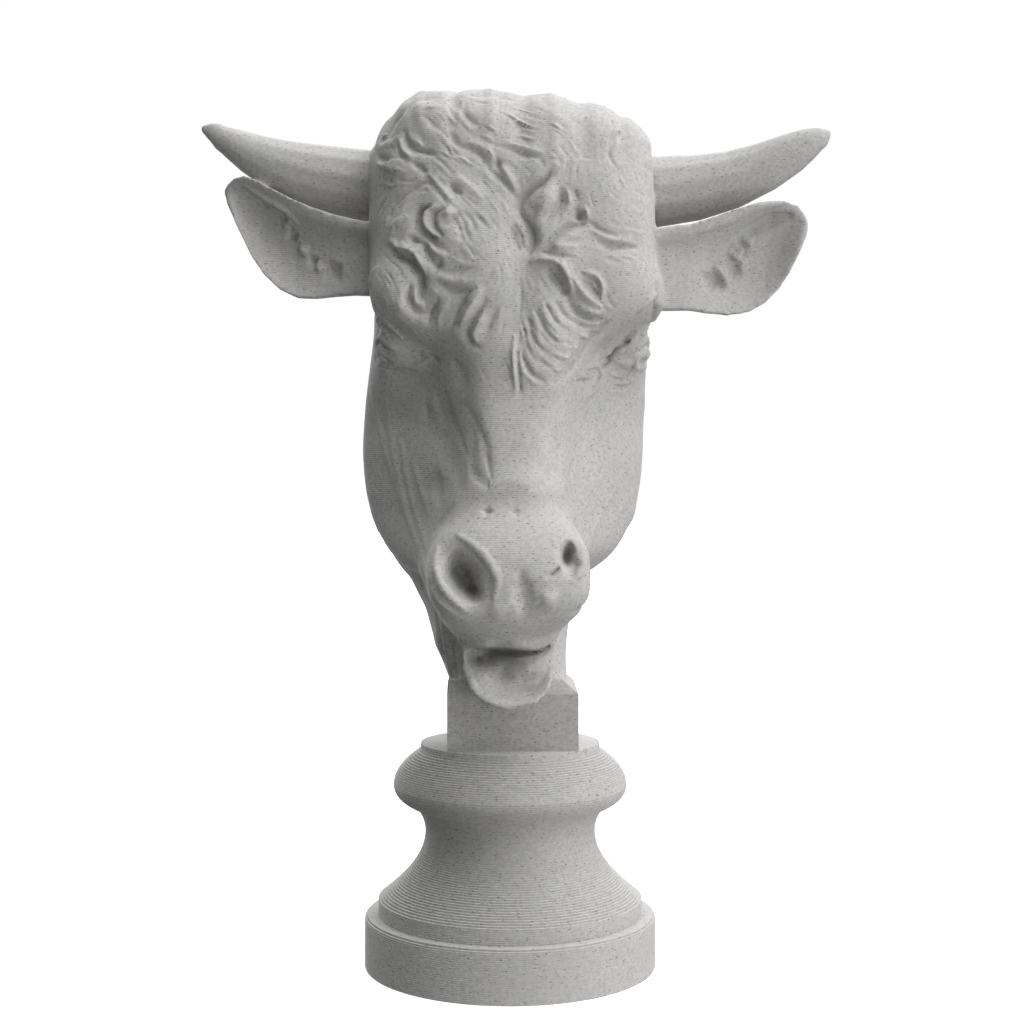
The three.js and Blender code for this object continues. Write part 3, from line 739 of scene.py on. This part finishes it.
# %% Fine strands
STRAND_SEED = 11
STRAND_STEP = 5.0
STRAND_STEPS = 3
STRAND_HALF_WIDTHS = (1.7, 2.6)
STRAND_HEIGHTS_MM = (0.04, 0.09)
STRAND_PLACES = [
    ((440, 240), (70, 105), 120),
    ((560, 270), (50, 100), 90),
    ((480, 140), (100, 42), 60),
    ((620, 200), (30, 80), 25),
    ((500, 360), (40, 40), 14),
]
FLOW_NEAR = 50
FLOW_FALL = 1.5
HAIR_SOFTENING = [
    (((-16, 16), (-16, 4), (54, 90)), 2),
    (((-9, -2), (-16, 0), (60, 64)), 4),
]


def strand_flow(strokes):
    """A function that gives the run of the hair at a place of the front view."""
    lines = [curve_through(points) for _, _, *points in strokes]
    middles = np.concatenate([(line[1:] + line[:-1]) / 2 for line in lines])
    runs = np.concatenate([line[1:] - line[:-1] for line in lines])
    doubled = 2 * np.arctan2(runs[:, 1], runs[:, 0])

    def flow(place):
        weight = 1 / (((middles - place) ** 2).sum(1) + FLOW_NEAR) ** FLOW_FALL
        turn = math.atan2((weight * np.sin(doubled)).sum(), (weight * np.cos(doubled)).sum()) / 2
        return np.array([math.cos(turn), math.sin(turn)])
    return flow


def fine_strands(flow):
    draw = np.random.default_rng(STRAND_SEED)
    strands = []
    for centre, reach, count in STRAND_PLACES:
        for _ in range(count):
            radius, turn = math.sqrt(draw.random()), draw.random() * 2 * math.pi
            place = np.array(centre) + radius * np.array([math.cos(turn), math.sin(turn)]) * reach
            points = [place]
            for _ in range(STRAND_STEPS):
                points.append(points[-1] + flow(points[-1]) * STRAND_STEP)
            height = draw.uniform(*STRAND_HEIGHTS_MM) * draw.choice((-1, 1))
            strands.append((draw.uniform(*STRAND_HALF_WIDTHS), height, *points))
    return strands


for box, rounds in HAIR_SOFTENING:
    carving.soften(box, rounds)
strands = fine_strands(strand_flow([stroke for group in CURLS for stroke in group]))
carving.carve(strands, on_brow)
print("fine strands", len(strands))

# %% [markdown]
# The crown is seen edge on from the front, so its locks are drawn from above instead. They run from
# front to back and give the lumpy outline of the hair. The edge that the front view shows is then
# pressed down a little on the right, all the way through, so that it leaves no step behind it.

# %% Crown
CROWN = [
    (15.0, -0.5, (-118, -90), (-122, -40), (-116, 20), (-120, 80)),
    (16.0, -0.4, (16, -110), (12, -60), (18, 0), (10, 60)),
    (14.0, -0.3, (68, -110), (72, -50), (66, 10), (72, 70)),
    (9.0, -0.3, (-52, -110), (-56, -50), (-48, 10), (-56, 60)),
    (9.0, -0.3, (110, -80), (112, -20), (106, 40)),
    (9.0, 0.2, (-86, -100), (-90, -40), (-84, 20), (-90, 70)),
    (9.0, 0.2, (-22, -110), (-18, -50), (-24, 10), (-18, 60)),
    (9.0, 0.15, (40, -110), (44, -50), (38, 10), (44, 60)),
    (10.0, 0.3, (134, -60), (138, 0), (132, 40)),
]
CROWN_EDGE = [
    (30.0, 0.35, (420, 92), (470, 88), (520, 93)),
    (30.0, 0.6, (545, 95), (590, 99), (632, 113)),
]
on_crown = within(high=(80, FAR))
Carving(bust, "top").carve(CROWN, on_crown, shoulder=SLIGHT_SHOULDER)
Carving(bust).carve(CROWN_EDGE, on_crown, push=DOWN, through=True)
carving.read()
print("crown strokes", len(CROWN))

# %% [markdown]
# The eyes sit on the sides of the head, so the front view only shows the folds of the lids and the
# hollow under each brow. Creases run down the left of the nose, and fine ridges of skin down the
# cheeks to the neck. All are shallow strokes of the front view, where the photograph shows them.

# %% Brows, lids and cheeks
BROWS = [
    (3.0, -0.7, (656, 322), (646, 326), (634, 334), (622, 346), (610, 358), (602, 368)),
    (2.2, 0.35, (658, 290), (650, 300), (638, 312)),
    (3.0, 0.4, (588, 368), (596, 366), (600, 374), (596, 386), (586, 398)),
    (2.0, -0.4, (576, 382), (590, 380)),
    (2.0, 0.25, (610, 374), (622, 376), (638, 360), (646, 350)),
    (2.0, 0.25, (616, 384), (628, 382), (642, 366)),
    (2.0, 0.3, (640, 340), (646, 330), (650, 322)),
    (2.0, 0.35, (370, 282), (368, 292), (372, 304), (380, 314), (390, 324), (402, 338)),
    (2.0, 0.3, (366, 308), (376, 318), (384, 330), (390, 342)),
    (2.0, 0.3, (378, 266), (372, 276), (370, 286)),
    (9.0, -0.35, (455, 362), (462, 376), (464, 392)),
    (2.0, -0.35, (520, 332), (519, 346), (518, 360), (520, 384), (522, 402)),
    (2.6, 0.3, (514, 336), (513, 360), (516, 392)),
]
BRIDGE = [
    (3.4, -0.2, (484, 452), (488, 466), (491, 480)),
    (16.0, -0.4, (440, 392), (444, 422), (450, 448), (456, 470), (460, 486)),
    (8.0, -0.5, (436, 472), (437, 500)),
    (4.4, -0.4, (444, 391), (448, 413), (456, 434), (465, 455)),
    (5.0, 0.3, (433, 395), (437, 418), (441, 432)),
    (4.4, -0.25, (425, 403), (427, 422)),
    (4.4, -0.25, (465, 403), (477, 426), (485, 445), (489, 463)),
    (4.0, -0.4, (483, 511), (491, 511)),
    (4.0, -0.2, (512, 512), (519, 512)),
    (2.6, -0.2, (573, 461), (571, 478)),
]
CHEEKS = [
    (2.8, 0.22, (372, 385), (380, 430), (395, 480), (412, 530), (430, 580)),
    (2.6, 0.18, (412, 460), (420, 485), (428, 515)),
    (2.8, 0.22, (400, 440), (408, 480), (418, 520), (428, 552)),
    (2.8, 0.2, (386, 400), (393, 450), (405, 500), (420, 545)),
    (2.6, 0.16, (620, 480), (606, 505), (594, 530), (590, 545)),
    (2.6, 0.16, (632, 490), (618, 515), (604, 540)),
]
for group in (BROWS, BRIDGE, CHEEKS):
    carving.carve(group, on_face, shoulder=MEDIUM_SHOULDER)
print("face strokes", len(BROWS) + len(BRIDGE) + len(CHEEKS))

# %% [markdown]
# The muzzle has one flared nostril and one narrow one. Under it hangs the lower lip, a tongue of
# plastic with a rolled rim and a hollow inside. The deep hollows are pressed straight in, because a
# cut along the normals would fold over itself there. They are softened, and the crisp folds follow.

# %% Muzzle and lip
MUZZLE = [
    (14.0, -0.7, (521, 576), (523, 592), (525, 612)),
    (15.0, 0.6, (545, 596), (550, 604)),
    (12.0, 0.2, (494, 606), (500, 618)),
    (6.0, 0.45, (438, 548), (436, 566), (442, 586), (454, 601), (467, 611)),
    (7.0, 0.35, (459, 536), (475, 547), (489, 562), (497, 580), (494, 598)),
    (6.0, 0.35, (579, 541), (583, 556), (580, 572), (572, 582)),
    (4.5, 0.3, (455, 630), (466, 639), (480, 643), (512, 644), (536, 646), (552, 638), (564, 629)),
    (2.2, 0.15, (428, 580), (438, 600), (454, 614), (470, 622)),
    (5.0, -0.25, (453, 506), (444, 518), (434, 532)),
    (5.0, -0.25, (574, 520), (581, 532)),
]
NOSTRIL_PRESS = [
    (19.0, 3.4, (455, 560), (460, 573), (467, 586), (474, 595)),
    (11.0, 1.9, (470, 588), (477, 599)),
    (9.0, 2.1, (569, 545), (568, 553), (566, 562)),
    (8.0, 1.2, (567, 556), (567, 566)),
    (12.0, 0.7, (573, 560), (571, 574)),
]
LIP_PRESS = [
    (26.0, 2.1, (482, 660), (516, 664)),
    (15.0, 2.0, (469, 650), (476, 662), (492, 656)),
    (12.0, 0.9, (484, 675), (500, 682), (520, 683), (538, 675)),
    (5.5, 1.2, (463, 641), (476, 647), (490, 651), (512, 652), (532, 653), (548, 647)),
    (9.0, -1.2, (470, 680), (477, 694), (490, 702), (511, 706), (532, 703), (546, 691), (555, 676)),
]
NOSTRIL_FOLDS = [
    (3.0, 0.55, (561, 565), (556, 571), (547, 578)),
]
LIP_GAP = [
    (5.0, 1.0, (459, 637), (467, 646), (478, 651), (492, 653), (512, 654), (532, 654), (545, 649),
     (555, 641)),
    (9.0, 0.8, (470, 656), (480, 662)),
]
LIP = [
    (4.5, -0.35, (472, 672), (480, 684), (493, 690), (511, 692), (528, 690), (540, 682), (548, 668)),
    (3.5, 0.2, (462, 655), (468, 682), (478, 697), (492, 705), (511, 709), (530, 706), (545, 695),
     (556, 674)),
]
HOLLOW_SOFTENING = [
    (((-8, 8), (-16, -5), (26, 44)), 6),
    (((-7.4, -2.4), (-16, -9), (36.5, 43.5)), 5),
    (((3.6, 7.4), (-16, -9), (37.5, 44)), 3),
]
WING_BOX_MM = ((1, 6.5), (-16, -9), (35.5, 40))
WING_SOFTENING = 3
on_muzzle = within(deep=(-FAR, -5), high=(32.5, 50))
on_lip = within(deep=(-FAR, -6.5), high=(-FAR, 35))
carving.carve(NOSTRIL_PRESS, on_muzzle, push=INWARDS)
carving.carve(LIP_PRESS, on_lip, push=INWARDS)
for box, rounds in HOLLOW_SOFTENING:
    carving.soften(box, rounds)
carving.carve(NOSTRIL_FOLDS, on_muzzle, push=INWARDS)
carving.carve(LIP_GAP, on_lip, push=INWARDS)
carving.carve(MUZZLE, on_muzzle, shoulder=SLIGHT_SHOULDER)
carving.soften(WING_BOX_MM, WING_SOFTENING)
carving.carve(LIP, on_lip, shoulder=SLIGHT_SHOULDER)
print("muzzle strokes", len(MUZZLE), "lip strokes", len(LIP))

# %% [markdown]
# From the side the head shows what the front view hides: the lids round each eye, the line of the
# mouth, the edge of the jaw and the long muscles of the neck. They are drawn in a flat side view,
# because strokes of the front view would be torn long here. Both sides are cut alike, and plainly.

# %% Sides of the head
EYE_PLACES = {"left": (-15, 617), "right": (7, 617)}
EYE_STROKES = [
    (30.0, -0.5, (-10, 0), (10, 0)),
    (14.0, 0.75, (-6, -1), (7, 1)),
    (5.0, 0.35, (-23, -1), (-13, 12), (3, 15), (20, 5), (28, -4)),
    (4.6, 0.3, (-21, -8), (-9, -14), (7, -13), (21, -6)),
    (2.6, -0.3, (-18, 1), (-10, 9), (3, 11), (17, 3)),
    (3.6, -0.25, (-23, -5), (-29, -11)),
    (4.2, -0.25, (-16, 22), (2, 25), (20, 17)),
]
SIDE_STROKES = [
    (5.0, -0.4, (-120, 364), (-96, 374), (-70, 384), (-52, 400)),
    (14.0, -0.4, (-30, 400), (-10, 392), (20, 400), (44, 430)),
    (16.0, -0.5, (60, 440), (76, 520), (84, 600), (84, 660)),
    (14.0, -0.35, (110, 470), (122, 540), (124, 610)),
    (12.0, -0.4, (20, 690), (10, 660), (20, 635)),
    (6.0, -0.3, (-110, 480), (-86, 500), (-76, 540)),
]
on_side = within(out=2.0)


def shifted(strokes, place):
    """The strokes, drawn round a place of the view."""
    return [(width, height, *[(x + place[0], z + place[1]) for x, z in points])
            for width, height, *points in strokes]


for side in ("left", "right"):
    flank = Carving(bust, side)
    flank.carve(SIDE_STROKES, on_side, shoulder=SOFT_SHOULDER)
    flank.carve(shifted(EYE_STROKES, EYE_PLACES[side]), on_side)
carving.read()
print("side strokes", len(SIDE_STROKES) + len(EYE_STROKES))

# %% [markdown]
# Each ear is a shell with a rolled upper rim. The right one shows three pits with ridges between
# them, the left one the same in shade. They are cut into the finer skin from the front, the only
# view that shows them. The horns' tips are only moved a little to fit the outline, and one thin
# ridge between two grooves runs down the neck.

# %% Ears and neck
EAR_RIGHT = [
    (16.0, -0.35, (700, 264), (720, 254), (740, 242)),
    (10.0, -0.7, (736, 238), (756, 228), (774, 219), (790, 216)),
    (6.0, 0.35, (700, 232), (730, 220), (756, 208), (784, 203)),
    (12.0, -0.6, (704, 274), (712, 281), (720, 287)),
    (10.0, -0.5, (729, 268), (739, 274)),
    (9.0, -0.5, (744, 259), (752, 255)),
    (4.0, 0.5, (715, 267), (722, 277), (728, 287)),
    (4.0, 0.5, (730, 254), (739, 261), (748, 268)),
    (4.6, 0.5, (744, 241), (750, 245), (757, 249)),
]
EAR_LEFT = [
    (3.0, 0.35, (245, 186), (258, 194), (272, 202), (289, 213), (298, 224)),
    (4.5, -0.45, (247, 193), (262, 204), (280, 216), (292, 229)),
    (8.0, -0.6, (290, 233), (294, 240)),
    (7.0, 0.6, (302, 246), (306, 254)),
    (7.0, -0.45, (311, 258), (315, 264)),
    (13.0, -0.7, (329, 266), (337, 277)),
    (6.0, 0.4, (284, 222), (290, 226)),
    (5.0, 0.3, (318, 262), (320, 272)),
]
NECK = [
    (2.4, 0.3, (441, 612), (446, 645), (453, 684)),
    (2.4, -0.3, (436, 612), (441, 645), (448, 684)),
    (2.4, -0.3, (448, 625), (453, 655), (459, 684)),
]
TIP_UPPER = [(13.0, 0.25, (206, 126), (224, 126))]
TIP_LOWER = [(8.0, 0.3, (824, 146), (836, 141)), (7.0, 0.2, (206, 146), (218, 152))]
on_neck = within(deep=(-6.5, FAR), high=(-FAR, 41))
on_ears = within(deep=(-FAR, 3.5), high=(62, 81), out=14.5)
on_tips = within(out=27.0)
carving.carve(NECK, on_neck)
Carving(sides).carve(EAR_RIGHT + EAR_LEFT, on_ears)
tips = Carving(sides)
tips.carve(TIP_UPPER, on_tips, push=UP, through=True)
tips.carve(TIP_LOWER, on_tips, push=DOWN, through=True)
print("ear strokes", len(EAR_RIGHT) + len(EAR_LEFT))

# %% [markdown]
# The block under the neck is square with crisp edges. It is built up as the printer does it, layer
# on layer: a square is extruded upwards, and a fine groove is left between the layers. The top
# edge is chamfered at the front, the back and the right. A plain cube with a bevel would do from
# afar, but close up the layers show.

# %% Square block
BLOCK_HALF_MM = 6.43
BLOCK_LOW_MM = 22.4
BLOCK_SIDE_TOP_MM = 28.0
BLOCK_TOP_MM = 29.1
LAYER_MM = 0.2
GROOVE_MM = 0.025
BLOCK_SHIFT_MM = 0.27
CHAMFER_SLOPES = (0.64, 1.0)
CHAMFER_LEAN = -0.64
SIDE_LEVELS = ((0.2, 0), (0.8, 0), (1.0, GROOVE_MM))


def square_block():
    bm = bmesh.new()
    bmesh.ops.create_grid(bm, x_segments=1, y_segments=1, size=BLOCK_HALF_MM * MM)
    bmesh.ops.translate(bm, verts=bm.verts, vec=(0, 0, BLOCK_LOW_MM * MM))
    bmesh.ops.reverse_faces(bm, faces=bm.faces)
    top = list(bm.faces)
    half = (BLOCK_HALF_MM, BLOCK_HALF_MM)
    z = BLOCK_LOW_MM

    def raise_to(next_z, next_half, shift):
        nonlocal top, half, z
        grown = bmesh.ops.extrude_face_region(bm, geom=top)["geom"]
        verts = [g for g in grown if isinstance(g, bmesh.types.BMVert)]
        for f in top:
            if f.is_valid and z > BLOCK_LOW_MM:
                bmesh.ops.delete(bm, geom=[f], context="FACES_ONLY")
        bmesh.ops.translate(bm, verts=verts, vec=(0, 0, (next_z - z) * MM))
        shares = [after / before for before, after in zip(half, next_half)]
        bmesh.ops.scale(bm, verts=verts, vec=(*shares, 1))
        bmesh.ops.translate(bm, verts=verts, vec=(shift * MM, 0, 0))
        top = [g for g in grown if isinstance(g, bmesh.types.BMFace)]
        half, z = next_half, next_z

    layers = round((BLOCK_TOP_MM - BLOCK_LOW_MM) / LAYER_MM)
    for k in range(layers):
        for share, groove in SIDE_LEVELS:
            height = BLOCK_LOW_MM + (k + share) * LAYER_MM
            over = max(0, height - BLOCK_SIDE_TOP_MM)
            halves = [BLOCK_HALF_MM - slope * over - groove for slope in CHAMFER_SLOPES]
            raise_to(height, halves, CHAMFER_LEAN * min(over, height - z))
    bmesh.ops.translate(bm, verts=bm.verts, vec=(BLOCK_SHIFT_MM * MM, 0, 0))
    bmesh.ops.recalc_face_normals(bm, faces=bm.faces)
    return object_from(bm, "square_block")


block = square_block()
print("block faces", len(block.data.polygons))

# %% [markdown]
# The socle is a turned shape: a drum, a hollow waist, a torus and a thin ring. Its profile is built
# up in layers too, each as wide as the profile is at its middle, which gives the fine steps that
# the photograph shows on every slope. The profile is then spun round the axis.

# %% Turned socle
DRUM_RADIUS_MM = 14.7
DRUM_TOP_MM = 5.2
DRUM_BEVEL_MM = 0.35
STEP_RADIUS_MM = 13.33
STEP_TOP_MM = 6.7
WAIST_RADIUS_MM = 8.6
WAIST_HEIGHT_MM = 13.5
TORUS_BOTTOM = (9.5, 15.95)
TORUS_RADIUS_MM = 11.8
TORUS_HEIGHT_MM = 18.2
RING_RADIUS_MM = 9.05
RING_BOTTOM_MM = 21.75
SOCLE_STEPS = 120
HALVINGS = 30
SEAM_M = 1e-7


def bezier(a, b, c, d, t):
    s = 1 - t
    return s ** 3 * a + 3 * s * s * t * b + 3 * s * t * t * c + t ** 3 * d


def bezier_radius(points, z):
    """The radius at a height on a curve that climbs all the way."""
    low, high = 0.0, 1.0
    for _ in range(HALVINGS):
        t = (low + high) / 2
        if bezier(*[p[1] for p in points], t) < z:
            low = t
        else:
            high = t
    return bezier(*[p[0] for p in points], low)


WAIST = (WAIST_RADIUS_MM, WAIST_HEIGHT_MM)
TORUS = (TORUS_RADIUS_MM, TORUS_HEIGHT_MM)
HOLLOW = [(STEP_RADIUS_MM, STEP_TOP_MM), (11.3, 8.3), (WAIST_RADIUS_MM, 10.6), WAIST]
RETURN = [WAIST, (WAIST_RADIUS_MM, 14.4), (8.9, 15.2), TORUS_BOTTOM]
BELLY = [TORUS_BOTTOM, (10.9, 16.5), (TORUS_RADIUS_MM, 17.2), TORUS]
SHOULDER = [TORUS, (TORUS_RADIUS_MM, 19.6), (10.5, 20.8), (RING_RADIUS_MM, RING_BOTTOM_MM)]
LAYER_EDGE = ((0.0, 1.0), (0.25, 0.0), (0.8, 0.0), (0.999, 0.6))


def socle_radius(z):
    if z < DRUM_TOP_MM:
        return DRUM_RADIUS_MM - max(0, z - DRUM_TOP_MM + DRUM_BEVEL_MM)
    if z < STEP_TOP_MM:
        return STEP_RADIUS_MM
    for curve in (HOLLOW, RETURN, BELLY, SHOULDER):
        if z < curve[3][1]:
            return bezier_radius(curve, z)
    return RING_RADIUS_MM


def turned_socle():
    bm = bmesh.new()
    outline = [(0, 0)]
    layers = round(BLOCK_LOW_MM / LAYER_MM)
    for k in range(layers):
        radius = socle_radius((k + 0.5) * LAYER_MM)
        for share, groove in LAYER_EDGE:
            outline.append((radius - groove * GROOVE_MM, k * LAYER_MM + share * LAYER_MM))
    outline.append((0, layers * LAYER_MM))
    verts = [bm.verts.new((r * MM, 0, z * MM)) for r, z in outline]
    edges = [bm.edges.new(pair) for pair in zip(verts, verts[1:])]
    bmesh.ops.spin(bm, geom=verts + edges, cent=(0, 0, 0), axis=(0, 0, 1), dvec=(0, 0, 0),
                   angle=2 * math.pi, steps=SOCLE_STEPS, use_merge=True)
    bmesh.ops.remove_doubles(bm, verts=bm.verts, dist=SEAM_M)
    bmesh.ops.recalc_face_normals(bm, faces=bm.faces)
    for face in bm.faces:
        face.smooth = True
    return object_from(bm, "layered_socle")


socle = turned_socle()
print("socle faces", len(socle.data.polygons))

# %% [markdown]
# The plastic is a light grey filament with fine dark and brown specks. It is matte, and its layers
# show as thin level lines all over, as bumps and as a painted shade that darkens the grooves
# between the layers a little. The specks and the lines are worked out from the place on the
# piece, so that they don't slide, and the lines are level because the printer builds upwards.

# %% Speckled print
PRINT_GREY = (0.435, 0.43, 0.425)
SPECK_DARK = (0.10, 0.09, 0.085)
SPECK_BROWN = (0.20, 0.12, 0.07)
SPECK_STRETCH = (0.45, 0.45, 1.0)
SPECK_EDGE = 0.55
SPECK_STRENGTH = 0.6
SPECKS = [
    (2600.0, 0.2, SPECK_DARK, 0.7),
    (1800.0, 0.14, SPECK_BROWN, 0.6),
    (3900.0, 0.2, SPECK_DARK, 0.6),
]
LAYER_WANDER = 0.25
# painted shade: how much darker the grooves between the print layers are made, and how strongly
LAYER_GROOVE_PAINTED_SHADE, LAYER_GROOVE_PAINTED_SHADE_STRENGTH = 0.55, 0.2
CLOUD_SHADE, CLOUD_STRENGTH = 0.93, 0.35
MOTTLE_SHADES = (0.88, 1.1)
ROUGHNESS = (0.56, 0.74)
SPECULAR = 0.35
BUMP_MM = 0.03
LAYER_BUMP = 0.35
GRAIN_BUMP = 0.5


def shade(share):
    """The grey of the print, darker or lighter."""
    return (*[c * share for c in PRINT_GREY], 1)


def printed_layers(n, place):
    """A wave from groove to ridge over the layers, and how strongly it shows in each place."""
    height = n.add("ShaderNodeSeparateXYZ", {0: place}).outputs[2]
    wander = n.math("MULTIPLY", n.noise(place, Scale=500.0, Detail=2.0), LAYER_WANDER)
    turns = n.math("ADD", n.math("MULTIPLY", height, 1 / (LAYER_MM * MM)), wander)
    wave = n.math("SINE", n.math("MULTIPLY", turns, 2 * math.pi))
    patchy = n.band(n.noise(place, Scale=90.0), 0.35, 0.65)
    return n.math("MULTIPLY_ADD", wave, 0.5, 0.5), n.math("MULTIPLY_ADD", patchy, 0.6, 0.4)


def with_specks(n, place, grey):
    """The grey with dark and brown specks over it, drawn out as short dashes."""
    drawn_out = n.add("ShaderNodeMapping", {"Vector": place, "Scale": SPECK_STRETCH}).outputs[0]
    for scale, radius, colour, share in SPECKS:
        cells = n.add("ShaderNodeTexVoronoi", {"Vector": drawn_out, "Scale": scale})
        draw = n.add("ShaderNodeSeparateColor", {0: cells.outputs["Color"]}).outputs[0]
        chosen = n.math("GREATER_THAN", draw, 1 - share)
        spot = n.band(cells.outputs["Distance"], radius, radius * SPECK_EDGE)
        cover = n.math("MULTIPLY", n.math("MULTIPLY", spot, chosen), SPECK_STRENGTH)
        grey = n.mix(cover, grey, (*colour, 1))
    return grey


def speckled_print():
    material = bpy.data.materials.new("speckled_print")
    material.use_nodes = True
    n = Nodes(material)
    place = n.add("ShaderNodeTexCoord").outputs["Object"]
    layer, strength = printed_layers(n, place)
    mottle = n.noise(place, Scale=2600.0, Detail=3.0)
    cloud = n.band(n.noise(place, Scale=160.0, Detail=2.0), 0.4, 0.7)
    # painted shade: the grooves between the layers are darkened, as if shade fell in them
    groove = n.math("MULTIPLY", n.band(layer, 0.35, 0.0), strength)
    grey = n.mix(n.band(mottle, 0.35, 0.65), *map(shade, MOTTLE_SHADES))
    grey = n.mix(n.math("MULTIPLY", cloud, CLOUD_STRENGTH), grey, shade(CLOUD_SHADE))
    grey = n.mix(n.math("MULTIPLY", groove, LAYER_GROOVE_PAINTED_SHADE_STRENGTH), grey, shade(LAYER_GROOVE_PAINTED_SHADE))
    grey = with_specks(n, place, grey)
    ribs = n.math("MULTIPLY", layer, strength)
    bump = n.add("ShaderNodeBump", {"Height": ribs, "Distance": BUMP_MM * MM,
                                    "Strength": LAYER_BUMP}).outputs[0]
    grain = n.add("ShaderNodeBump", {"Height": mottle, "Distance": BUMP_MM * MM,
                                     "Strength": GRAIN_BUMP, "Normal": bump}).outputs[0]
    shader = material.node_tree.nodes["Principled BSDF"]
    shader.inputs["Specular IOR Level"].default_value = SPECULAR
    material.node_tree.links.new(grey, shader.inputs["Base Color"])
    material.node_tree.links.new(n.band(mottle, 0.0, 1.0, *ROUGHNESS), shader.inputs["Roughness"])
    material.node_tree.links.new(grain, shader.inputs["Normal"])
    return material


print_material = speckled_print()
for piece in (bust, sides, block, socle):
    piece.data.materials.clear()
    piece.data.materials.append(print_material)
print("material nodes", len(print_material.node_tree.nodes))

# %% [markdown]
# Last, each piece is hung under the root, and the solid it stands for is hidden. The head, the
# horns with the ears, and the block all stand for the one solid of the bust, and the layered
# socle for the solid socle.

# %% Hand over to the frame
for face in bust.data.polygons:
    face.use_smooth = True
STANDS_FOR = [(bust, "bull_head_bust"), (sides, "bull_head_bust"), (block, "bull_head_bust"),
              (socle, "turned_socle")]
for piece, node in STANDS_FOR:
    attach(piece, "root")
    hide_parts(node)
print("pieces handed over", len(STANDS_FOR))
